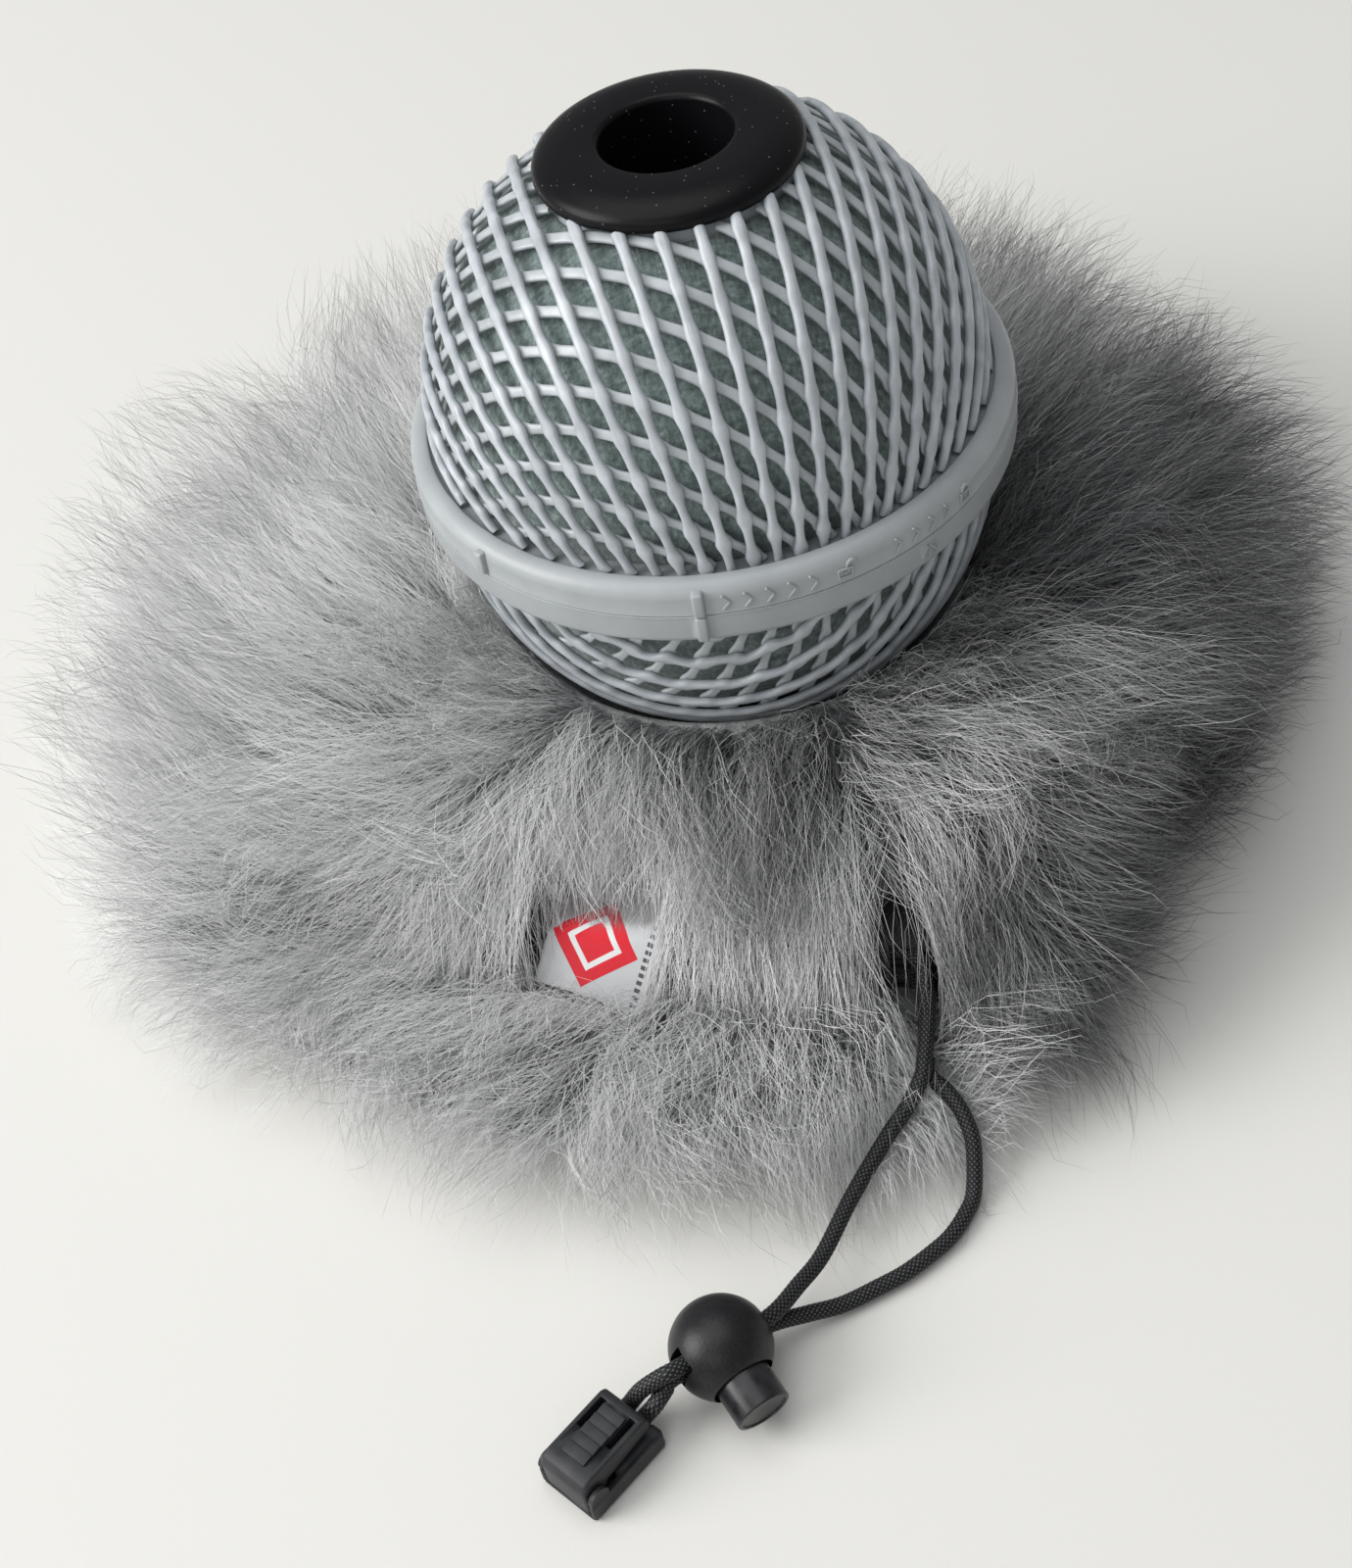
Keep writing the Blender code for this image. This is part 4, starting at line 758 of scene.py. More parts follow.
bm = bmesh.new()
skirt_low = BUSH_TOP - 0.0190
bush_section = (corner_arc((BUSH_BORE_R + 0.0011, BUSH_TOP - 0.0011), 0.0011, 180, 90, 6)
                + [(BUSH_R - 0.0068 + 0.0068 * math.cos(a), BUSH_TOP - 0.0031 + 0.0031 * math.sin(a))
                   for a in [math.radians(90 - 7.5 * k) for k in range(13)]]
                + corner_arc((BUSH_R - 0.0007, BUSH_TOP - 0.0036), 0.0007, 0, -90, 4)
                + [(COLLAR_R, BUSH_TOP - 0.0043), (0.0202, BUSH_TOP - 0.0032), (BUSH_WAIST_R, BUSH_TOP - 0.0032),
                   (BUSH_WAIST_R, BUSH_TOP - 0.0083), (BUSH_HEEL_R, BUSH_TOP - 0.0083),
                   (BUSH_HEEL_R, BUSH_TOP - 0.0098), (BUSH_BORE_R + 0.0026, BUSH_TOP - 0.0105),
                   (BUSH_BORE_R + 0.0018, skirt_low), (BUSH_BORE_R, skirt_low)])
turned(bm, bush_section, 144, PARTING_Z)
bush = add_piece(bm, "rubber_top_bush", rubber_mat, "upper_half", 32)
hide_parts("rubber_bush")

# ---------------------------------------------------------------- mouth hem
# The mouth of the cover is edged with a folded strip of black cloth, sewn down as a channel for the drawcord.
# It is gathered a little along its length, and most of it is hidden under the pile.
MOUTH_MID = 0.0075
MOUTH_LENGTH = 0.0865
HEM_DEPTH = 0.0120
HEM_HEIGHT = 0.0050
HEM_CLOTH = 0.0008
HEM_BACK = MOUTH_DIST - HEM_DEPTH
HEM_TOP = MOUTH_HEIGHT + HEM_LOOP_R + HEM_HEIGHT / 2
hem_mat, hem_shader, hem_tree = new_material("hem_cloth", (0.015, 0.015, 0.016), 0.85, Sheen_Weight=0.08,
                                             Sheen_Roughness=0.5)
hem_weave = texture(hem_tree, 'ShaderNodeTexChecker', source="UVMap", stretch=(60.0, 420.0, 1.0), Scale=1.0)
colour_by(hem_tree, hem_shader, hem_weave, (0.0, (0.008, 0.008, 0.009)), (1.0, (0.022, 0.022, 0.024)))
surface_bump(hem_tree, hem_shader, hem_weave, 0.0001)


def mouth_loop(along_half, radius, count_end, count_side):
    """Points round the flattened mouth in its own plane, as (along, up), closed."""
    points = []
    for side in (1, -1):
        first = -math.pi / 2 if side > 0 else math.pi / 2
        for k in range(count_end):
            a = first + math.pi * k / count_end
            points.append((side * along_half + radius * math.cos(a), radius * math.sin(a)))
        for k in range(count_side):
            points.append((side * along_half * (1 - 2 * k / count_side), side * radius))
    return points + points[:1]


hem_route = [mouth_point(HEM_BACK, MOUTH_MID + a, MOUTH_HEIGHT + u)
             for a, u in mouth_loop(MOUTH_LENGTH / 2 - HEM_LOOP_R, HEM_LOOP_R, 14, 70)]
half = HEM_HEIGHT / 2
thin = half - HEM_CLOTH
fold = HEM_DEPTH - HEM_CLOTH
hem_outline = [(-half, 0.0), (-half, 0.004), (-half, 0.008), (-half, HEM_DEPTH - 0.0018),
               (-half + 0.0006, HEM_DEPTH - 0.0005), (-half + 0.0014, HEM_DEPTH),
               (half - 0.0014, HEM_DEPTH), (half - 0.0006, HEM_DEPTH - 0.0005),
               (half, HEM_DEPTH - 0.0018), (half, 0.008), (half, 0.004), (half, 0.0),
               (thin, 0.0), (thin, 0.006), (thin, fold - 0.001), (thin - 0.0006, fold),
               (-thin + 0.0006, fold), (-thin, fold - 0.001), (-thin, 0.006), (-thin, 0.0)]


def hem_section(turn, k):
    """The folded strip's outline, a little fuller and deeper in each gather."""
    across, high = hem_outline[round(turn * len(hem_outline)) % len(hem_outline)]
    k = k % (len(hem_route) - 1)
    gather = 0.00018 * math.sin(k * 1.7) + 0.00012 * math.sin(k * 0.6 + 1.0)
    return across * (1 + gather * 160), high + gather * high / HEM_DEPTH


bm = bmesh.new()
uv_layer = bm.loops.layers.uv.new("UVMap")
hem_frames = []
for i, point in enumerate(hem_route):
    before = hem_route[i - 1] if i else hem_route[-2]
    after = hem_route[i + 1] if i + 1 < len(hem_route) else hem_route[1]
    ahead = (after - before).normalized()
    hem_frames.append((point, ahead.cross(MOUTH_OUT).normalized(), MOUTH_OUT))
swept_tube(bm, hem_frames, len(hem_outline), hem_section, uv_layer)
bmesh.ops.remove_doubles(bm, verts=bm.verts[:], dist=1e-6)
hem = add_piece(bm, "gathered_hem", hem_mat, "cover", 45)
slot_cut = bmesh.new()
block(slot_cut, (0.0096, 0.02, 0.0046),
      placed(mouth_point(MOUTH_DIST, 0.0432, MOUTH_HEIGHT), MOUTH_ALONG, Vector((0, 0, 1)), MOUTH_OUT)
      @ Matrix.Translation((0.0, 0.0, 0.0007)))
cut_away(hem, slot_cut)
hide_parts("mouth_hem")

# ---------------------------------------------------------------- side label
# A folded satin ribbon label, sewn into the hem, hangs down over its front edge.
# Its silver-grey ground carries a plain woven sign of a red lozenge with a pale inner line.
LABEL_W = 0.020
LABEL_LENGTH = 0.022
LABEL_T = 0.0008
LABEL_TURN = math.radians(15.0)
LABEL_MID = -0.0095
LABEL_IN = 0.0090
LABEL_BEND_R = 0.0030
LABEL_ROOT_Z = HEM_TOP + 0.0003 + LABEL_T / 2
LABEL_BEND_FROM = MOUTH_DIST + 0.0003
LABEL_DROOP = math.radians(50.0)
label_mat, label_shader, label_tree = new_material("label_satin", (0.42, 0.43, 0.45), 0.42, Sheen_Weight=0.3,
                                                   Sheen_Roughness=0.35)


def uv_parts(tree, layer):
    """The two coordinates of a UV map, each as a socket."""
    place = add_node(tree, 'ShaderNodeUVMap', uv_map=layer)
    parts = add_node(tree, 'ShaderNodeSeparateXYZ')
    tree.links.new(place.outputs["UV"], parts.inputs["Vector"])
    return parts.outputs["X"], parts.outputs["Y"]


def mixed(tree, factor, first, second):
    """A colour between two colours, each a socket or a plain colour."""
    node = tree.nodes.new('ShaderNodeMix')
    node.data_type = 'RGBA'
    tree.links.new(factor, node.inputs["Factor"])
    for socket, value in ((node.inputs[6], first), (node.inputs[7], second)):
        if isinstance(value, tuple):
            socket.default_value = (*value, 1.0)
        else:
            tree.links.new(value, socket)
    return node.outputs[2]


def away_from(socket, middle):
    return maths(label_tree, 'ABSOLUTE', maths(label_tree, 'SUBTRACT', socket, middle))


label_x, label_y = uv_parts(label_tree, "UVMap")
lozenge = maths(label_tree, 'ADD', away_from(label_x, 0.43),
                maths(label_tree, 'MULTIPLY', away_from(label_y, 0.56), 1.05))
is_red = maths(label_tree, 'LESS_THAN', lozenge, 0.40)
is_line = maths(label_tree, 'LESS_THAN', away_from(lozenge, 0.22), 0.034)
dashes = maths(label_tree, 'GREATER_THAN',
               maths(label_tree, 'FRACT', maths(label_tree, 'MULTIPLY', label_y, 16.0)), 0.45)
is_dash = maths(label_tree, 'MULTIPLY', maths(label_tree, 'LESS_THAN', away_from(label_x, 0.90), 0.028), dashes)
satin = texture(label_tree, 'ShaderNodeTexWave', source="UVMap", bands_direction='Y', Scale=34.0, Distortion=1.2)
ground = colour_steps(label_tree, satin, (0.0, (0.56, 0.57, 0.59)), (1.0, (0.70, 0.71, 0.73)))
red = colour_steps(label_tree, satin, (0.0, (0.66, 0.008, 0.022)), (1.0, (0.86, 0.018, 0.038)))
label_colour = mixed(label_tree, is_red, ground, red)
label_colour = mixed(label_tree, is_line, label_colour, (0.86, 0.86, 0.87))
label_colour = mixed(label_tree, is_dash, label_colour, (0.09, 0.09, 0.10))
label_tree.links.new(label_colour, label_shader.inputs["Base Color"])
surface_bump(label_tree, label_shader, maths(label_tree, 'ADD', satin, is_red), 0.00008)

arc = LABEL_BEND_R * LABEL_DROOP
bm = bmesh.new()
uv_layer = bm.loops.layers.uv.new("UVMap")
bmesh.ops.create_grid(bm, x_segments=28, y_segments=40, size=0.5, calc_uvs=True)
spin = Matrix.Rotation(LABEL_TURN, 2)
for v in bm.verts:
    curl = 0.0006 * math.cos(v.co.x * 5.0) * (v.co.y + 0.5) - 0.0003
    flat = spin @ Vector((v.co.x * LABEL_W, (v.co.y + 0.5) * LABEL_LENGTH - LABEL_IN))
    bent = min(max(flat.y, 0.0), arc) / LABEL_BEND_R
    run = max(0.0, flat.y - arc)
    out = min(flat.y, 0.0) + LABEL_BEND_R * math.sin(bent) + run * math.cos(LABEL_DROOP)
    drop = LABEL_BEND_R * (1 - math.cos(bent)) + run * math.sin(LABEL_DROOP)
    v.co = mouth_point(LABEL_BEND_FROM + out, LABEL_MID + flat.x,
                       LABEL_ROOT_Z - drop + (curl if flat.y > 0 else 0.0))
label = add_piece(bm, "woven_label", label_mat, "cover", 60)
if sum(p.normal.z for p in label.data.polygons) < 0:
    label.data.flip_normals()
thicken(label, LABEL_T, 0.0)
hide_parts("side_label")

# ---------------------------------------------------------------- cord lock
# A ball of black plastic with a slot right through it for both cords, and a sprung plunger in a bore.
# Pressing the plunger lines its slot up with the ball's, and the cords run free.
LOCK_SLOT = (4 * LOCK_R, 0.0080, 0.0044)
LOCK_BORE_R = 0.0053
SPRING_SEAT_R = 0.0037
BUTTON_SLOT = (0.0180, 0.0068, 0.0058)
COIL_R, COIL_WIRE, COIL_TURNS = 0.0030, 0.0004, 2.5
COIL_LOW, COIL_HIGH = -0.0067, -0.0031
COIL_STEPS = round(COIL_TURNS * 28)
black_mat, black_shader, black_tree = new_material("lock_plastic", (0.010, 0.010, 0.011), 0.36,
                                                    Specular_IOR_Level=0.3)
brushed = texture(black_tree, 'ShaderNodeTexNoise', turn=(0.5, 0.2, 0.4), stretch=(2600.0, 2600.0, 220.0),
                  Scale=1.0, Detail=3.0, Roughness=0.65)
surface_bump(black_tree, black_shader, brushed, 0.00005, 0.9)
colour_by(black_tree, black_shader, brushed, (0.35, (0.006, 0.006, 0.007)), (0.75, (0.018, 0.018, 0.020)))
bm = bmesh.new()
bmesh.ops.create_uvsphere(bm, u_segments=72, v_segments=48, radius=LOCK_R, matrix=lock_place)
lock = add_piece(bm, "lock_ball", black_mat, "cord_lock", 28)
slot_tool, bore_tool = bmesh.new(), bmesh.new()
block(slot_tool, LOCK_SLOT, lock_place, 0.0006, 3)
for sides, radius, depth, middle in ((64, LOCK_BORE_R, 0.0200, 0.0043), (48, SPRING_SEAT_R, 0.0040, -0.0048)):
    bmesh.ops.create_cone(bore_tool, cap_ends=True, segments=sides, radius1=radius, radius2=radius, depth=depth,
                          matrix=lock_place @ Matrix.Translation((0, 0, middle)))
cut_away(lock, slot_tool)
cut_away(lock, bore_tool)
lock.data.shade_smooth()
lock.data.set_sharp_from_angle(angle=math.radians(28))
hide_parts("cord_lock_body")

button_mat, button_shader, button_tree = new_material("button_plastic", (0.012, 0.012, 0.014), 0.25,
                                                       Specular_IOR_Level=0.4)
button_haze = texture(button_tree, 'ShaderNodeTexNoise', Scale=500.0, Detail=4.0)
colour_by(button_tree, button_shader, button_haze, (0.3, (0.008, 0.008, 0.010)), (0.7, (0.022, 0.022, 0.025)))
button_rough = add_node(button_tree, 'ShaderNodeMapRange')
button_tree.links.new(button_haze, button_rough.inputs["Value"])
button_rough.inputs["To Min"].default_value = 0.18
button_rough.inputs["To Max"].default_value = 0.42
button_tree.links.new(button_rough.outputs["Result"], button_shader.inputs["Roughness"])
bm = bmesh.new()
button_line = ([(0.0, 0.0120), (0.0038, 0.0120), (0.0039, 0.0122)]
               + corner_arc((0.0043, 0.0119), 0.0003, 90, 0, 3) + [(0.0046, -0.0028), (0.0044, -0.0030),
                                                                  (0.0, -0.0030)])
turned(bm, button_line, 64, 0.0, closed=False)
bm.transform(lock_place)
button = add_piece(bm, "lock_plunger", button_mat, "lock_button", 30)
tool = bmesh.new()
block(tool, BUTTON_SLOT, lock_place @ Matrix.Translation((0, 0, 0.0012)))
cut_away(button, tool)
button.data.shade_smooth()
button.data.set_sharp_from_angle(angle=math.radians(30))
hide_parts("cord_lock_button")

steel_mat, steel_shader, steel_tree = new_material("spring_steel", (0.55, 0.55, 0.56), 0.28, Metallic=1.0)
steel_marks = texture(steel_tree, 'ShaderNodeTexNoise', Scale=3000.0)
surface_bump(steel_tree, steel_shader, steel_marks, 0.00001)
bm = bmesh.new()
bmesh.ops.create_circle(bm, segments=10, radius=COIL_WIRE / 2,
                        matrix=Matrix.Translation((COIL_R, 0.0, COIL_LOW + COIL_WIRE / 2))
                        @ Matrix.Rotation(math.pi / 2, 4, 'X'))
coil_climb = (COIL_HIGH - COIL_LOW - COIL_WIRE) / COIL_STEPS
bmesh.ops.spin(bm, geom=bm.verts[:] + bm.edges[:], cent=(0, 0, 0), axis=(0, 0, 1), dvec=(0, 0, coil_climb),
               angle=COIL_TURNS * 2 * math.pi, steps=COIL_STEPS, use_merge=False, use_duplicate=False)
bmesh.ops.holes_fill(bm, edges=[e for e in bm.edges if e.is_boundary], sides=0)
bmesh.ops.recalc_face_normals(bm, faces=bm.faces[:])
bm.transform(lock_place)
coil = add_piece(bm, "lock_coil", steel_mat, "cord_lock", 50)
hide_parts("cord_lock_spring")
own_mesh(coil)

# ---------------------------------------------------------------- cord end
# A two-part clip of charcoal plastic closes over the two cut cord ends: a base with side rails,
# and a lid on a pin at its back. Stepped ribs across the lid give grip between its two windows.
RAIL_OUT = 0.0053            # the side rails, from the clip's middle
EAR_R = 0.0019               # the round ears that hold the pin
LID_HALF_WIDTH = 0.0046
RIBS, RIB_PITCH, RIB_LEAN = 5, 0.0019, math.radians(-9.0)
end_mat, end_shader, end_tree = new_material("cord_end_plastic", (0.022, 0.023, 0.026), 0.48,
                                              Specular_IOR_Level=0.3)
end_grain = texture(end_tree, 'ShaderNodeTexNoise', Scale=2600.0, Detail=3.0)
end_cloud = texture(end_tree, 'ShaderNodeTexNoise', Scale=300.0, Detail=3.0)
colour_by(end_tree, end_shader, end_cloud, (0.3, (0.018, 0.019, 0.021)), (0.7, (0.030, 0.031, 0.035)))
surface_bump(end_tree, end_shader, end_grain, 0.00004, 0.8)


def side_profile(bm, outline, half_width, bevel):
    """An outline in the clip's length and height, pulled out to both sides, with rounded edges."""
    verts = [bm.verts.new((x, -half_width, z)) for x, z in outline]
    face = bm.faces.new(verts)
    pulled = bmesh.ops.extrude_face_region(bm, geom=[face])
    moved = [g for g in pulled["geom"] if isinstance(g, bmesh.types.BMVert)]
    bmesh.ops.translate(bm, verts=moved, vec=(0.0, 2 * half_width, 0.0))
    bmesh.ops.bevel(bm, geom=list({e for v in verts + moved for e in v.link_edges}), offset=bevel,
                    segments=3, profile=0.5, affect='EDGES', material=-1)


bm = bmesh.new()
block(bm, (0.0164, 0.0104, 0.0006), Matrix.Translation((0.0002, 0.0, 0.0003)), 0.00015)
block(bm, (0.0098, 0.0112, 0.0040), Matrix.Translation((0.0035, 0.0, 0.0021)), 0.0009, 3)
for side in (-1, 1):
    block(bm, (0.0160, 0.0010, 0.0038), Matrix.Translation((0.0000, side * RAIL_OUT, 0.0021)), 0.0004, 3)
    bmesh.ops.create_cone(bm, cap_ends=True, segments=32, radius1=EAR_R, radius2=EAR_R, depth=0.0008,
                          matrix=Matrix.Translation((-0.0060, side * RAIL_OUT, 0.0046))
                          @ Matrix.Rotation(math.pi / 2, 4, 'X'))
bm.transform(end_place)
end_base = add_piece(bm, "clip_base", end_mat, "cover", 35)
tool = bmesh.new()
block(tool, (0.0200, 0.0068, 0.0060), end_place @ Matrix.Translation((0.0077, 0.0, 0.0054)))
cut_away(end_base, tool)
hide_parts("cord_end_base")

bm = bmesh.new()
lid_outline = [(-0.0080, 0.0012), (-0.0081, 0.0068), (-0.0074, 0.0084), (-0.0060, 0.0090), (0.0060, 0.0090),
               (0.0070, 0.0084), (0.0070, 0.0060), (-0.0030, 0.0047), (-0.0042, 0.0012)]
side_profile(bm, lid_outline, LID_HALF_WIDTH, 0.0005)
bm.transform(end_place)
end_lid = add_piece(bm, "clip_lid", end_mat, "end_lid", 35)
tool = bmesh.new()
for side in (-1, 1):
    block(tool, (0.0058, 0.0012, 0.0060),
          end_place @ Matrix.Translation((0.0024, side * 0.0030, 0.0090)), 0.0002)
block(tool, (0.0120, 0.0064, 0.0030), end_place @ Matrix.Translation((0.0042, 0.0, 0.0053)))
cut_away(end_lid, tool)
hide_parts("cord_end_lid")
bm = bmesh.new()
tilt = Matrix.Rotation(RIB_LEAN, 4, 'Y')
for k in range(RIBS):
    block(bm, (0.0020, 0.0046, 0.0007),
          Matrix.Translation((-0.0040 + RIB_PITCH * k, 0.0, 0.0092)) @ tilt, 0.00012)
bm.transform(end_place)
ribs = add_piece(bm, "clip_ribs", end_mat, "end_lid", 35)

# The pin and the cord inside the hem are shown by their own solids.
for node, mat in (("cord_end_pin", end_mat), ("hem_cord_run", cord_mat)):
    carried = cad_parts[node]
    carried = carried if isinstance(carried, bpy.types.Object) else bpy.data.objects[node]
    for material_slot in carried.material_slots:
        material_slot.material = mat

# ---------------------------------------------------------------- fur cover, cloth side
# The cover is a bag of knitted cloth with a deep synthetic pile. It is off the ball and lies flat and folded
# under it: a lower layer on the table, and an upper layer that rises round the ball and stops at the hem.
COVER_CENTRE = Vector((-0.017, 0.013))
COVER_R = 0.121
UPPER_REACH = 0.93
CLOTH_SHORT = 0.0120         # the cloth ends this far inside the outline that the pile makes
CLOTH_STEPS = 200
OUTLINE_WAVES = ((0.022, 3, 0.6), (0.022, 5, 2.2), (0.012, 9, 0.0))
DISH_RIM_R = 0.0420
BALL_CLEAR_R = BALL_R + 0.0009
BALL_LOW_CENTRE = PARTING_Z - DOME_OFFSET
TURNS = np.linspace(-math.pi, math.pi, 1441)


def outline_reach(angle):
    """Distance from the ball's axis to the cover's wavy outline in one direction."""
    heading = Vector((math.cos(angle), math.sin(angle)))
    near, far = 0.5 * COVER_R, 2.0 * COVER_R
    for _ in range(30):
        middle = (near + far) / 2
        offset = middle * heading - COVER_CENTRE
        a = math.atan2(offset.y, offset.x)
        waves = sum(high * math.sin(lobes * a + start) for high, lobes, start in OUTLINE_WAVES)
        inside = offset.length < COVER_R * (1 + waves)
        near, far = (middle, far) if inside else (near, middle)
    return near


COVER_REACHES = np.array([outline_reach(a) for a in TURNS])


def cover_reach(angle):
    """The same distance for many directions at once, read off the outline found above."""
    return np.interp(angle, TURNS, COVER_REACHES)


def ramp(value, low, high):
    """A smooth step from 0 at low to 1 at high."""
    share = np.clip((value - low) / (high - low), 0.0, 1.0)
    return share * share * (3 - 2 * share)


def lower_top(share):
    """Height of the lower layer's face, by the share of the way out to the outline."""
    return 0.0045 + 0.0110 * (1 - np.clip(share, 0, 1) ** 3)


def upper_reach(angle):
    """The upper layer stops short of the outline, and behind the hem where the mouth is."""
    full = UPPER_REACH * cover_reach(angle) - CLOTH_SHORT
    facing = np.cos(angle - MOUTH_AZ)
    edge = (HEM_BACK - 0.0003) / np.maximum(facing, 0.3)
    past_end = np.abs(edge * np.sin(angle - MOUTH_AZ) - MOUTH_MID) - MOUTH_LENGTH / 2 - HEM_HEIGHT
    nearer = np.minimum(full, edge)
    cut = nearer + (full - nearer) * ramp(past_end, 0.0, 0.040)
    return np.where(facing < 0.3, full, cut)


def upper_top(reach, angle):
    """Height of the upper layer's face: a slope down from the ball, never below the lower layer."""
    low = lower_top(reach / cover_reach(angle)) + 0.0007
    return np.maximum(0.0460 - 0.44 * (reach - DISH_RIM_R), low + 0.003)


FUR_STEPS = 26       # shades of hair in each kind, from dim to bright
hair_mat, hair_shader, hair_tree = new_material("fur_pile", (0.5, 0.5, 0.52), 0.45, Specular_IOR_Level=0.5)
hair_x, along = uv_parts(hair_tree, "OFBake")
shade = maths(hair_tree, 'FRACT', maths(hair_tree, 'MULTIPLY', hair_x, 2.0))
is_guard = maths(hair_tree, 'GREATER_THAN', hair_x, 0.5)
# Both coat colours are painted a little darker towards the root, as painted shade deep in the pile; the dim
# coat's darker tip is its own tone.
coat_dim = colour_steps(hair_tree, along, (0.0, (0.05, 0.053, 0.058)), (0.35, (0.09, 0.094, 0.10)),
                        (0.8, (0.15, 0.155, 0.162)), (1.0, (0.10, 0.104, 0.11)))
coat_bright = colour_steps(hair_tree, along, (0.0, (0.93, 0.94, 0.945)), (0.30, (0.975, 0.98, 0.985)),
                           (0.8, (0.985, 0.99, 0.99)), (1.0, (0.97, 0.975, 0.98)))
guard_soft = colour_steps(hair_tree, along, (0.0, (0.95, 0.955, 0.96)), (0.66, (0.95, 0.955, 0.96)),
                          (0.84, (0.20, 0.205, 0.215)), (1.0, (0.020, 0.022, 0.025)))
guard_dark = colour_steps(hair_tree, along, (0.0, (0.12, 0.125, 0.135)), (0.30, (0.10, 0.105, 0.115)),
                          (0.55, (0.016, 0.017, 0.020)), (1.0, (0.005, 0.005, 0.006)))
coat = mixed(hair_tree, shade, coat_dim, coat_bright)
guard = mixed(hair_tree, shade, guard_soft, guard_dark)
hair_colour = mixed(hair_tree, is_guard, coat, guard)
hair_tree.links.new(hair_colour, hair_shader.inputs["Base Color"])
hair_through = add_node(hair_tree, 'ShaderNodeBsdfTranslucent')
hair_tree.links.new(hair_colour, hair_through.inputs["Color"])
hair_both = add_node(hair_tree, 'ShaderNodeMixShader')
hair_both.inputs["Fac"].default_value = 0.30
hair_tree.links.new(hair_shader.outputs["BSDF"], hair_both.inputs[1])
hair_tree.links.new(hair_through.outputs["BSDF"], hair_both.inputs[2])
hair_out = next(n for n in hair_tree.nodes if n.type == 'OUTPUT_MATERIAL')
hair_tree.links.new(hair_both.outputs["Shader"], hair_out.inputs["Surface"])

# The cloth's grey is kept dark so that the arc of it showing at the ball's foot reads as the shadow there:
# partly the cloth's own grey, partly painted shade.
knit_mat, knit_shader, knit_tree = new_material("fur_cloth", (0.24, 0.245, 0.25), 0.9, Sheen_Weight=0.2,
                                                Sheen_Roughness=0.6)
knit_noise = texture(knit_tree, 'ShaderNodeTexNoise', Scale=420.0, Detail=4.0, Roughness=0.7)
colour_by(knit_tree, knit_shader, knit_noise, (0.3, (0.10, 0.105, 0.11)), (0.7, (0.34, 0.345, 0.35)))
surface_bump(knit_tree, knit_shader, knit_noise, 0.0008)


def layer_of_cloth(name, shares, place, thickness):
    """A line of shares spun into a disc, each point then put on the layer, and given its thickness."""
    bm = bmesh.new()
    turned(bm, [(share, 0.0) for share in shares], CLOTH_STEPS, 0.0, closed=False, weld=1e-6)
    for v in bm.verts:
        v.co = place(v.co.xy.length, math.atan2(v.co.y, v.co.x))
    made = add_piece(bm, name, knit_mat, "cover", 60)
    if sum(p.normal.z * p.area for p in made.data.polygons) < 0:
        made.data.flip_normals()
    thicken(made, thickness, -1.0)
    return made


def on_upper(share, angle):
    """Shares 0 to 1 are the hollow under the ball, 1 to 2 the slope, 2 to 3 the edge turned down."""
    edge = float(upper_reach(angle))
    if share <= 1.0:
        reach = share * DISH_RIM_R
        high = BALL_LOW_CENTRE - math.sqrt(BALL_CLEAR_R ** 2 - reach ** 2)
    elif share <= 2.0:
        reach = DISH_RIM_R + (share - 1.0) * (edge - DISH_RIM_R)
        high = float(upper_top(reach, angle))
    else:
        reach = edge - 0.0010 * (share - 2.0)
        low = float(lower_top(reach / cover_reach(angle))) + 0.0017
        high = float(upper_top(edge, angle))
        high += (low - high) * (share - 2.0)
    lump = 0.0010 * noise.noise(Vector((reach * math.cos(angle), reach * math.sin(angle), 0.0)) * 70)
    lump = lump - 0.0010 if share > 1.05 else -0.0001
    return Vector((reach * math.cos(angle), reach * math.sin(angle), high + lump))


def on_lower(share, angle):
    """Shares 0 to 1 are the top of the layer, 1 to 2 its rounded edge and underside."""
    edge = float(cover_reach(angle)) - CLOTH_SHORT
    if share <= 1.0:
        reach = share * edge
        high = float(lower_top(reach / (edge + CLOTH_SHORT))) - 0.0007
    else:
        reach = edge * (1.0 - 0.03 * (share - 1.0))
        high = 0.0038 * (2.0 - share) + 0.0009 * (share - 1.0)
    return Vector((reach * math.cos(angle), reach * math.sin(angle), high))


upper_cloth = layer_of_cloth("cover_upper_cloth", [0.02, 0.25, 0.45, 0.6, 0.72, 0.84, 0.93, 1.0, 1.04]
                             + [1.1 + 0.1 * k for k in range(10)] + [2.25, 2.5, 2.75, 3.0], on_upper, 0.0009)
lower_cloth = layer_of_cloth("cover_lower_cloth", [0.02, 0.2, 0.4, 0.55, 0.65, 0.75, 0.83, 0.9, 0.95, 0.98, 1.0,
                                                   1.4, 2.0], on_lower, 0.0008)
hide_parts("fur_panel_upper")
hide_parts("fur_panel_lower")

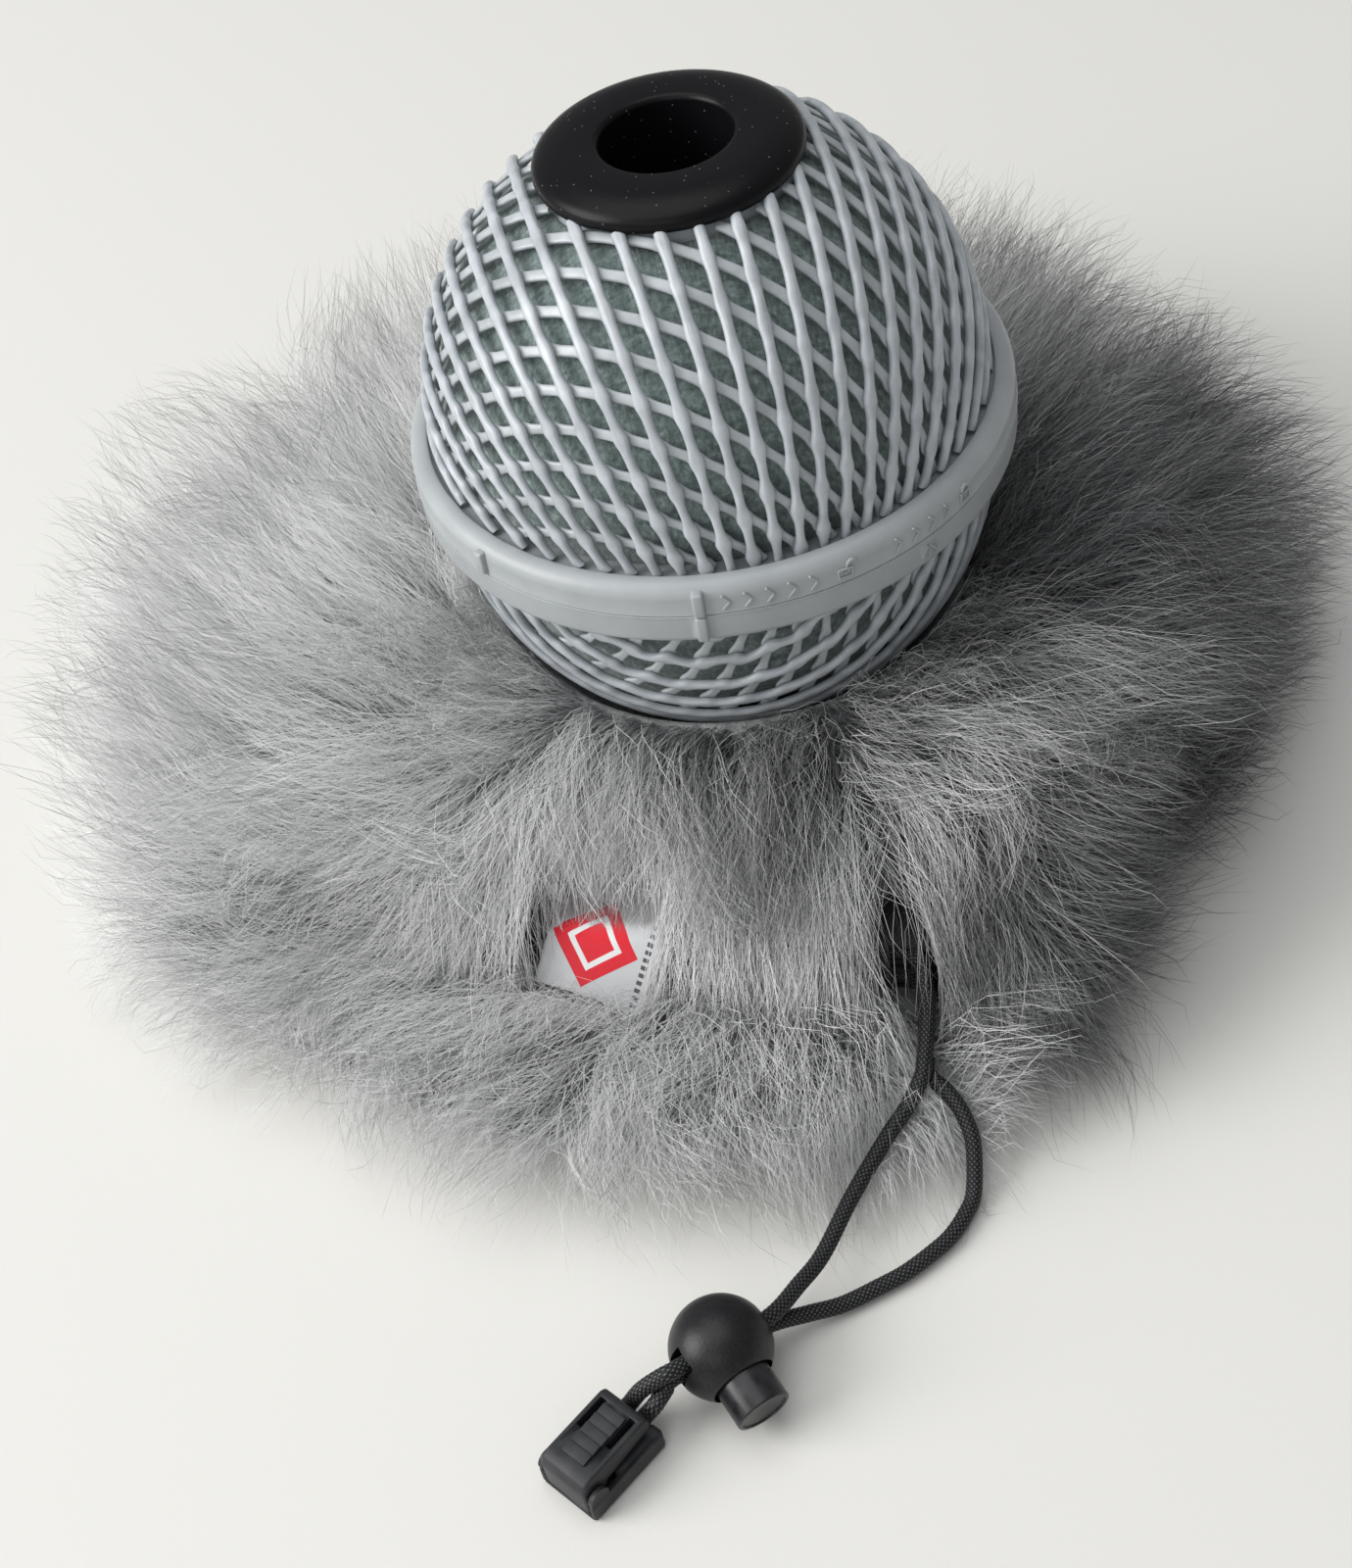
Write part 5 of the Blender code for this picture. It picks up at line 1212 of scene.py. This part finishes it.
# ---------------------------------------------------------------- fur cover, pile
# The pile is acrylic: a dense silver-white coat, and longer guard hairs that darken to charcoal at the tips.
# It lies outwards in tufts that draw to points, and hangs over the hem, the label's root and the edge.
RANDOM_START = 417
HAIR_SIDES = 3
HAIR_TAPER = 0.72            # how much thinner a hair is before its tip
COAT_LENGTH, GUARD_LENGTH, TUFT_LENGTH = (0.017, 0.042), (0.036, 0.054), (0.030, 0.046)
COAT_RADIUS, GUARD_RADIUS = (0.000065, 0.0001), (0.000045, 0.00007)
TUFT_SPREAD = 0.30           # how far tufts turn from the way the pile is combed, in radians
FOOT_SHARE = 0.06            # share of the hairs that crowd round the ball's foot
HAIR_ROOT_DEPTH = 0.0008     # roots start this far below the cloth's face
BARE_R = 0.0425              # no hair grows nearer to the ball's axis
FOOT_BAND_R = 0.0500         # hairs at the ball's foot grow out to here
CUT_EDGE = HEM_BACK + 0.001  # roots nearer to the ball than this are on the upper layer
CORD_OUT = 0.0425            # where the cords come out, along the mouth
TABLE_GAP = 0.0004
LEADER_POINTS = 7
PILE_LEFT, PILE_RIGHT, PILE_BACK = -0.1512, 0.1240, 0.1490
TIP_HUMPS = ((0.020, 138, 38), (0.013, 30, 34), (0.017, 290, 15), (0.010, 255, 20), (0.006, 185, 14))
random_hair = np.random.default_rng(RANDOM_START)


def hair_template(points):
    """Faces of one hair: three-sided rings drawn out to a point, as vertex numbers in the order of the rings."""
    bm = bmesh.new()
    bmesh.ops.create_circle(bm, cap_ends=True, segments=HAIR_SIDES, radius=1.0)
    edges = bm.edges[:]
    for k in range(1, points):
        grown = bmesh.ops.extrude_edge_only(bm, edges=edges)["geom"]
        bmesh.ops.translate(bm, verts=[g for g in grown if isinstance(g, bmesh.types.BMVert)],
                            vec=(0.0, 0.0, 1.0))
        edges = [g for g in grown if isinstance(g, bmesh.types.BMEdge)]
        edges = [e for e in edges if all(abs(v.co.z - k) < 1e-6 for v in e.verts)]
    tip = [v for v in bm.verts if abs(v.co.z - (points - 1)) < 1e-6]
    bmesh.ops.pointmerge(bm, verts=tip, merge_co=(0.0, 0.0, points - 1.0))
    bmesh.ops.recalc_face_normals(bm, faces=bm.faces[:])
    order = sorted(bm.verts, key=lambda v: (round(v.co.z, 4), round(math.atan2(v.co.y, v.co.x), 4)))
    number = {v: i for i, v in enumerate(order)}
    angles = [math.atan2(v.co.y, v.co.x) for v in order[:HAIR_SIDES]]
    faces = [[number[v] for v in f.verts] for f in bm.faces]
    bm.free()
    return faces, angles


def hair_mesh(name, paths, radii, tones):
    """All hairs of one piece: the template laid along each path. paths has shape (hairs, points, 3)."""
    hairs, points, _ = paths.shape
    faces, angles = hair_template(points)
    ahead = np.gradient(paths, axis=1)
    ahead /= np.linalg.norm(ahead, axis=2, keepdims=True) + 1e-12
    side = np.cross(ahead, np.array([0.13, 0.21, 0.97]))
    side /= np.linalg.norm(side, axis=2, keepdims=True) + 1e-12
    lift = np.cross(side, ahead)
    taper = np.array([1.0 - HAIR_TAPER * (k / (points - 1)) ** 1.6 for k in range(points - 1)])
    wide = radii[:, None] * taper[None, :]
    rings = np.stack([paths[:, :-1] + wide[..., None] * (math.cos(a) * side[:, :-1] + math.sin(a) * lift[:, :-1])
                      for a in angles], axis=2)
    verts = np.concatenate([rings.reshape(hairs, -1, 3), paths[:, -1:]], axis=1)
    per = verts.shape[1]
    corner_count = sum(len(f) for f in faces)
    flat = np.concatenate([np.array(f) for f in faces])
    loops = (flat[None, :] + per * np.arange(hairs)[:, None]).ravel()
    starts = np.cumsum([0] + [len(f) for f in faces[:-1]])
    starts = (starts[None, :] + corner_count * np.arange(hairs)[:, None]).ravel()
    mesh = bpy.data.meshes.new(name)
    mesh.vertices.add(per * hairs)
    mesh.vertices.foreach_set("co", verts.ravel())
    mesh.loops.add(len(loops))
    mesh.loops.foreach_set("vertex_index", loops)
    mesh.polygons.add(len(starts))
    mesh.polygons.foreach_set("loop_start", starts)
    ring_of = np.minimum(flat // HAIR_SIDES, points - 1)
    corner = flat % HAIR_SIDES
    uv = np.zeros((hairs, corner_count, 2))
    uv[..., 0] = tones[:, None] + 0.002 * corner[None, :]
    uv[..., 1] = (0.01 + 0.97 * ring_of / (points - 1) + 0.003 * corner)[None, :]
    mesh.uv_layers.new(name="OFBake").data.foreach_set("uv", uv.ravel())
    mesh.update(calc_edges=True)
    mesh.validate()
    mesh.shade_smooth()
    mesh.materials.append(hair_mat)
    piece = bpy.data.objects.new(name, mesh)
    scene.collection.objects.link(piece)
    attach(piece, "cover")
    return piece


def hump(angle, middle, width):
    """A smooth rise round one direction, in degrees."""
    away = np.angle(np.exp(1j * (angle - math.radians(middle))))
    return np.exp(-(away / math.radians(width)) ** 2)


def mouth_frame(x, y):
    """Distance from the ball's axis towards the mouth, and place along the mouth."""
    return x * MOUTH_OUT.x + y * MOUTH_OUT.y, x * MOUTH_ALONG.x + y * MOUTH_ALONG.y


def under_height(x, y):
    """Height of the cloth, or of the table, below each point."""
    reach, angle = np.hypot(x, y), np.arctan2(y, x)
    edge = cover_reach(angle)
    low = np.where(reach < edge - CLOTH_SHORT, lower_top(reach / edge), TABLE_GAP)
    past = reach - upper_reach(angle)
    high = upper_top(np.minimum(reach, upper_reach(angle)), angle)
    return np.where(past < 0, high, np.where(past < 0.004, low + (high - low) * (1 - past / 0.004) ** 2, low))


def rooted(x, y):
    """Roots at these places, just below the face of the cloth."""
    return np.stack([x, y, under_height(x, y) - HAIR_ROOT_DEPTH], axis=1)


def flat_map(points):
    """A search tree over the points as seen from above."""
    made = KDTree(len(points))
    for i, p in enumerate(points):
        made.insert((p[0], p[1], 0.0), i)
    made.balance()
    return made


def nearest_in(tree, roots, part):
    """For each root, the number (part 1) or the distance (part 2) of the nearest point in a tree."""
    return np.array([tree.find((x, y, 0.0))[part] for x, y, _ in roots])


def towards(value, degrees, weight):
    """An angle drawn towards a given one."""
    return value + weight * (math.radians(degrees) - value)


def soft_noise(x, y, scale, seed):
    """Smooth noise over the plan, from about -1 to 1."""
    return np.array([noise.noise(Vector((a * scale, b * scale, seed))) for a, b in zip(x, y)])


def hair_paths(roots, heading, rise, fall, length, curl, points):
    """Paths of hairs that leave the cloth at one elevation and bend down to another."""
    place = roots.copy()
    made = [place.copy()]
    for k in range(1, points):
        t = (k - 0.5) / (points - 1)
        elevation = rise + (fall - rise) * t ** 0.65
        turn = heading + curl * t
        step = length / (points - 1)
        place = place + np.stack([np.cos(elevation) * np.cos(turn), np.cos(elevation) * np.sin(turn),
                                  np.sin(elevation)], axis=1) * step[:, None]
        made.append(place.copy())
    return np.stack(made, axis=1)


def comb_heading(x, y):
    """Which way the pile lies: outwards from the ball, with broad swirls."""
    return np.arctan2(y, x) + 1.05 * soft_noise(x, y, 17.0, 3.1) + 0.75 * soft_noise(x, y, 46.0, 8.7)


def hair_roots(count, foot_share=0.0):
    """Roots spread over both layers of cloth, and a share of them close round the ball's foot."""
    kept = []
    while sum(len(a) for a in kept) < count:
        angle = random_hair.uniform(-math.pi, math.pi, count)
        edge = cover_reach(angle) - CLOTH_SHORT
        reach = np.sqrt(random_hair.uniform(0.0, 1.0, count)) * edge
        by_foot = random_hair.uniform(0.0, 1.0, count) < foot_share
        reach = np.where(by_foot, random_hair.uniform(BARE_R, FOOT_BAND_R, count), reach)
        x, y = reach * np.cos(angle), reach * np.sin(angle)
        out, along = mouth_frame(x, y)
        under_hem = (out > HEM_BACK) & (out < MOUTH_DIST + 0.0005) \
            & (np.abs(along - MOUTH_MID) < MOUTH_LENGTH / 2 + 0.001)
        kept.append(rooted(x, y)[(reach > BARE_R) & ~under_hem])
    return np.concatenate(kept)[:count]


def fringe_roots(count):
    """Roots along the upper layer's cut edge, for the fringe that hides the hem."""
    along = MOUTH_MID + random_hair.uniform(-0.5, 0.5, count) * (MOUTH_LENGTH + 0.010)
    out = HEM_BACK - 0.0006 - 0.015 * random_hair.uniform(0.0, 1.0, count) ** 1.4
    x = MOUTH_OUT.x * out + MOUTH_ALONG.x * along
    y = MOUTH_OUT.y * out + MOUTH_ALONG.y * along
    return rooted(x, y)


def rim_roots(count):
    """Roots along the edge of the lower layer, closer together where the drawcord comes out."""
    near_cords = random_hair.uniform(0.0, 1.0, count) < 0.30
    there = np.radians(random_hair.uniform(-90.0, -46.0, count))
    angle = np.where(near_cords, there, random_hair.uniform(-np.pi, np.pi, count))
    reach = cover_reach(angle) - CLOTH_SHORT - 0.0006 - 0.012 * random_hair.uniform(0.0, 1.0, count) ** 1.6
    x, y = reach * np.cos(angle), reach * np.sin(angle)
    return rooted(x, y)


def over_mouth(roots):
    """How much each root belongs to the fringe that hangs over the hem: 0 none, 1 at the cut edge."""
    out, along = mouth_frame(roots[:, 0], roots[:, 1])
    between = 1.0 - ramp(np.abs(along - MOUTH_MID), MOUTH_LENGTH / 2 - 0.002, MOUTH_LENGTH / 2 + 0.010)
    return between * ramp(out, HEM_BACK - 0.030, HEM_BACK - 0.006) * (out < CUT_EDGE)


def fringe_end(along):
    """How far out the fringe ends: past the hem, but short of the label's face and of the cords' way out."""
    label = ramp(along, LABEL_MID - 0.0112, LABEL_MID - 0.0090) \
        * (1 - ramp(along, LABEL_MID + 0.0090, LABEL_MID + 0.0112))
    cord = np.exp(-((along - CORD_OUT) / 0.0030) ** 2)
    return MOUTH_DIST + 0.0170 + 0.003 * np.sin(along * 230) - 0.0165 * label - 0.0055 * cord


def laid(roots, heading, rise, fall, length):
    """The way each hair lies, by its place: upright at the foot, hanging at the mouth, short at the edge."""
    angle, reach = np.arctan2(roots[:, 1], roots[:, 0]), np.hypot(roots[:, 0], roots[:, 1])
    foot = 1.0 - ramp(reach, 0.044, 0.056)
    rise = towards(rise, 82.0, foot)
    fall = fall + foot * math.radians(25.0)
    length = length * (1.0 - 0.55 * foot)
    back = 0.5 + 0.5 * np.cos(angle - math.radians(125.0))
    fall = fall + math.radians(44.0) * back ** 2
    rise = rise + math.radians(16.0) * back ** 2
    by_cord = np.exp(-(nearest_in(cord_map, roots, 2) / 0.011) ** 2)
    rise, fall = towards(rise, 14.0, by_cord), towards(fall, -12.0, by_cord)
    hang = over_mouth(roots)
    heading = heading + 0.75 * hang * np.angle(np.exp(1j * (MOUTH_AZ - heading)))
    rise, fall = towards(rise, 12.0, hang), towards(fall, -52.0, hang)
    out, along = mouth_frame(roots[:, 0], roots[:, 1])
    below = (out > MOUTH_DIST) * (1 - ramp(out, MOUTH_DIST + 0.002, MOUTH_DIST + 0.018)) \
        * (1 - ramp(np.abs(along - MOUTH_MID), MOUTH_LENGTH / 2, MOUTH_LENGTH / 2 + 0.012))
    rise, fall = towards(rise, 74.0, below), towards(fall, 8.0, below)
    facing = np.maximum(np.cos(heading - MOUTH_AZ), 0.5)
    fringe = np.maximum(fringe_end(along) + random_hair.normal(0.0, 0.003, len(out)) - out, 0.004)
    fringe = fringe / (0.80 * facing)
    length = length + hang * (np.clip(fringe, 0.006, 0.040) - length)
    room = (tip_limit(angle) - reach) / (0.88 * np.maximum(np.cos(heading - angle), 0.45))
    return heading, rise, fall, np.minimum(length, np.maximum(room, 0.010))


def tip_limit(angle):
    """How far the tips reach from the ball's axis: well past the cloth at the back, barely at the front."""
    return sum((high * hump(angle, middle, width) for high, middle, width in TIP_HUMPS),
               cover_reach(angle) + 0.003)


cord_points = np.array([tuple(p) for _, route, _ in cords.values() for p in route[::8]])
cord_map = flat_map(cord_points)


def across_label(out, along):
    """How far a point is from the label's middle line."""
    return (along - LABEL_MID) * math.cos(LABEL_TURN) + (out - LABEL_BEND_FROM) * math.sin(LABEL_TURN)


def held_down(paths):
    """Keep every hair above cloth, hem and table, clear of the ball, under the label and under the cords."""
    hairs, points, _ = paths.shape
    flat = paths.reshape(-1, 3)
    first = (np.arange(len(flat)) % points) == 0
    x, y, z = flat[:, 0].copy(), flat[:, 1].copy(), flat[:, 2].copy()
    out, along = mouth_frame(x, y)
    from_above = np.repeat(mouth_frame(paths[:, 0, 0], paths[:, 0, 1])[0] < CUT_EDGE, points)
    run = np.maximum(out - LABEL_BEND_FROM - LABEL_BEND_R * math.sin(LABEL_DROOP), 0.0)
    label_low = LABEL_ROOT_Z - 0.0011 - LABEL_BEND_R * (1 - math.cos(LABEL_DROOP)) - run * math.tan(LABEL_DROOP)
    on_label = (np.abs(across_label(out, along)) < LABEL_W / 2 + 0.0010) \
        & (out > LABEL_BEND_FROM - 0.001) & (out < LABEL_BEND_FROM + 0.0125)
    z = np.where(on_label & (z > label_low) & ~first, np.maximum(label_low - 0.0006, 0.0005), z)
    on_hem = (out > HEM_BACK - 0.0010) & (out < MOUTH_DIST + 0.0012) & from_above \
        & (np.abs(along - MOUTH_MID) < MOUTH_LENGTH / 2 + 0.0015)
    z = np.where(on_hem & ~first, np.maximum(z, HEM_TOP + 0.0006), z)
    z = np.where(first, z, np.maximum(z, under_height(x, y) + 0.0002))
    far = np.sqrt(x ** 2 + y ** 2 + (z - BALL_LOW_CENTRE) ** 2)
    push = np.where((far < BALL_CLEAR_R) & ~first, BALL_CLEAR_R / np.maximum(far, 1e-6), 1.0)
    x, y = x * push, y * push
    z = np.where(push > 1, BALL_LOW_CENTRE + (z - BALL_LOW_CENTRE) * push, z)
    for i in np.nonzero((np.hypot(x - 0.006, y + 0.112) < 0.040) & ~first & ~from_above)[0]:
        _, nearest, gap = cord_map.find((x[i], y[i], 0.0))
        loose = (i // points) % 31 == 0
        if gap < 0.0040 and not loose and z[i] > cord_points[nearest][2] - 0.0018:
            z[i] = max(cord_points[nearest][2] - 0.0020, TABLE_GAP)
    x = np.clip(x, PILE_LEFT, PILE_RIGHT)
    y = np.minimum(y, PILE_BACK)
    return np.stack([x, y, z], axis=1).reshape(hairs, points, 3)


def in_the_way(paths):
    """Hairs from above the mouth that would cross the label's face or the cords; a few of them stay."""
    hairs, points, _ = paths.shape
    out, along = mouth_frame(paths[..., 0], paths[..., 1])
    over_label = (np.abs(across_label(out, along)) < LABEL_W / 2 - 0.0016) \
        & (out > LABEL_BEND_FROM + 0.0012) & (out < LABEL_BEND_FROM + 0.0145)
    over_cord = (np.abs(along - CORD_OUT) < 0.0018) & (out > MOUTH_DIST + 0.0020)
    crosses = (over_label | over_cord).any(axis=1) & (out[:, 0] < CUT_EDGE)
    for i in np.nonzero((np.hypot(paths[:, 0, 0] - 0.006, paths[:, 0, 1] + 0.100) < 0.052) & ~crosses)[0]:
        for a, b in zip(paths[i], paths[i][1:]):
            for share in (0.0, 0.25, 0.5, 0.75):
                p = a + (b - a) * share
                _, nearest, gap = cord_map.find((p[0], p[1], 0.0))
                if gap < 0.0019 and p[2] > cord_points[nearest][2] - 0.0003:
                    crosses[i] = True
    return crosses & (random_hair.uniform(0.0, 1.0, hairs) > 0.03)


def tuft_set(count, spread, big=None):
    """Leaders of tufts: their roots, their way, and their own darkness. Small tufts lean to the big ones."""
    roots = hair_roots(count)
    heading = comb_heading(roots[:, 0], roots[:, 1]) + random_hair.normal(0.0, spread, count)
    rise = random_hair.normal(math.radians(50.0), math.radians(13.0), count)
    fall = random_hair.normal(math.radians(0.0), math.radians(17.0), count)
    length = random_hair.uniform(*TUFT_LENGTH, count)
    curl = random_hair.normal(0.0, 0.45, count)
    dark = random_hair.normal(0.0, 1.0, count)
    heading, rise, fall, length = laid(roots, heading, rise, fall, length)
    paths = hair_paths(roots, heading, rise, fall, length, curl, LEADER_POINTS)
    if big is not None:
        own = nearest_in(big["map"], roots, 1)
        pull = 0.80 * np.linspace(0.0, 1.0, LEADER_POINTS)[None, :, None] ** 1.1
        paths = paths * (1 - pull) + big["paths"][own] * pull
        dark = 0.5 * dark + 0.8 * big["dark"][own]
    return {"map": flat_map(roots), "paths": paths, "dark": dark, "heading": heading}


big_tufts = tuft_set(250, TUFT_SPREAD)
small_tufts = tuft_set(1900, TUFT_SPREAD, big_tufts)


def pile(roots, points, guard_hairs, gather, droop):
    """Paths, radii and tones of one lot of hairs, drawn together tuft by tuft."""
    count = len(roots)
    own = nearest_in(small_tufts["map"], roots, 1)
    heading = small_tufts["heading"][own] + random_hair.normal(0.0, 0.28, count)
    rise = random_hair.normal(math.radians(52.0), math.radians(15.0), count)
    fall = random_hair.normal(math.radians(0.0), math.radians(20.0), count)
    x, y = roots[:, 0], roots[:, 1]
    reach, angle = np.hypot(x, y), np.arctan2(y, x)
    rim = ramp(reach, cover_reach(angle) - 0.028, cover_reach(angle) - 0.004)
    length = random_hair.uniform(*GUARD_LENGTH, count) if guard_hairs \
        else random_hair.uniform(*COAT_LENGTH, count) * (1.0 - 0.28 * rim)
    heading, rise, fall, length = laid(roots, heading, rise, fall, length)
    rise = rise + droop * (math.radians(3.0) - 0.85 * rise)
    fall = towards(fall, -44.0, droop)
    curl = random_hair.normal(0.0, 1.0, count)
    paths = hair_paths(roots, heading, rise, fall, length, curl, points)
    t = np.linspace(0.0, 1.0, points)
    lead = small_tufts["paths"][own]
    lead_length = np.linalg.norm(np.diff(lead, axis=1), axis=2).sum(axis=1)
    share = np.clip(t[None, :] * (length / np.maximum(lead_length, 0.004))[:, None], 0.0, 1.12)
    share = share * (LEADER_POINTS - 1)
    below = np.clip(np.floor(share).astype(int), 0, LEADER_POINTS - 2)
    rows = np.arange(count)[:, None]
    leader = lead[rows, below] + (lead[rows, below + 1] - lead[rows, below]) * (share - below)[..., None]
    pull = (gather * random_hair.uniform(0.35, 0.99, count)[:, None] * t[None, :] ** 0.95)[..., None]
    paths = paths * (1 - pull) + leader * pull
    paths = held_down(paths + random_hair.normal(0.0, 0.0010, (count, points, 3)) * t[None, :, None])
    # The hairs' tones carry painted light as well as their own darkness. To the ball's right the pile is painted
    # darker, partly as painted shadow and shaded side, partly for its darker hair; the back is painted a little
    # darker as painted shade, the left front lighter as painted light, and the side by the cords darker as
    # painted shade.
    right_shade_and_dark_hair = 1.10 * ramp(x, 0.016, 0.050) * (1 - 0.50 * ramp(y, -0.02, 0.06))
    back = 0.18 * hump(angle, 100, 40)
    left_front_painted_light = 0.28 * ramp(-y, 0.020, 0.060) * (1 - ramp(x, -0.012, 0.006))
    cord_side_painted_shade = ramp(x, 0.003, 0.020) * (1 - ramp(y, -0.062, -0.046)) * (1 - ramp(x, 0.040, 0.060))
    side_shade_and_dark_hair = right_shade_and_dark_hair + back - left_front_painted_light + cord_side_painted_shade
    # At the ball's foot, most on its front right, the pile is painted darker: partly painted shadow under the
    # ball, partly dark-tipped hair.
    foot = (1.0 - ramp(reach, 0.045, 0.060)) * (0.25 + 0.75 * hump(angle, -55, 55))
    dark = small_tufts["dark"][own]
    # The noise and each tuft's own darkness are the hair's own tone; the terms above add painted shade and
    # painted light.
    painted_shade_and_dark_hair = np.clip(side_shade_and_dark_hair + 0.9 * foot + 0.14 * dark + 0.55 * soft_noise(x, y, 34.0, 5.5), -0.3, 1.3)
    # Where the pile is painted darker, more guard hairs are dark and the coat hairs are dimmer.
    if guard_hairs:
        shade_of = np.clip(0.74 * painted_shade_and_dark_hair + 0.20 * dark - 0.02 + random_hair.normal(0.0, 0.14, count), 0.0, 0.999)
        tone = 0.502 + 0.49 * np.floor(shade_of * FUR_STEPS) / FUR_STEPS
        radius = random_hair.uniform(*GUARD_RADIUS, count)
    else:
        shade_of = np.clip(1.12 - 0.76 * painted_shade_and_dark_hair + random_hair.normal(0.0, 1.0, count)
                           * (0.10 + 0.15 * np.clip(painted_shade_and_dark_hair, 0.0, 1.0)), 0.0, 0.999)
        tone = 0.004 + 0.48 * np.floor(shade_of * FUR_STEPS) / FUR_STEPS
        radius = random_hair.uniform(*COAT_RADIUS, count)
    keep = ~in_the_way(paths)
    return paths[keep], radius[keep], tone[keep]


# Each kind: its name, how many pieces it makes, its roots, points to a hair, guard hairs or not, how much
# it gathers in tufts, and how much it droops. All roots are drawn before the first hair is laid.
for name, lots, roots, points, guard_hairs, gather, droop in (
        ("fur_coat", 6, hair_roots(36500, FOOT_SHARE), 6, False, 1.0, 0.0),
        ("fur_guard", 2, hair_roots(9500, FOOT_SHARE), 7, True, 1.0, 0.0),
        ("fur_fringe", 1, fringe_roots(4200), 5, False, 0.30, 0.0),
        ("fur_rim", 1, rim_roots(6500), 5, False, 0.75, 1.0)):
    paths, radii, tones = pile(roots, points, guard_hairs, gather, droop)
    for k in range(lots):
        hair_mesh("%s_%d" % (name, k + 1), paths[k::lots], radii[k::lots], tones[k::lots])
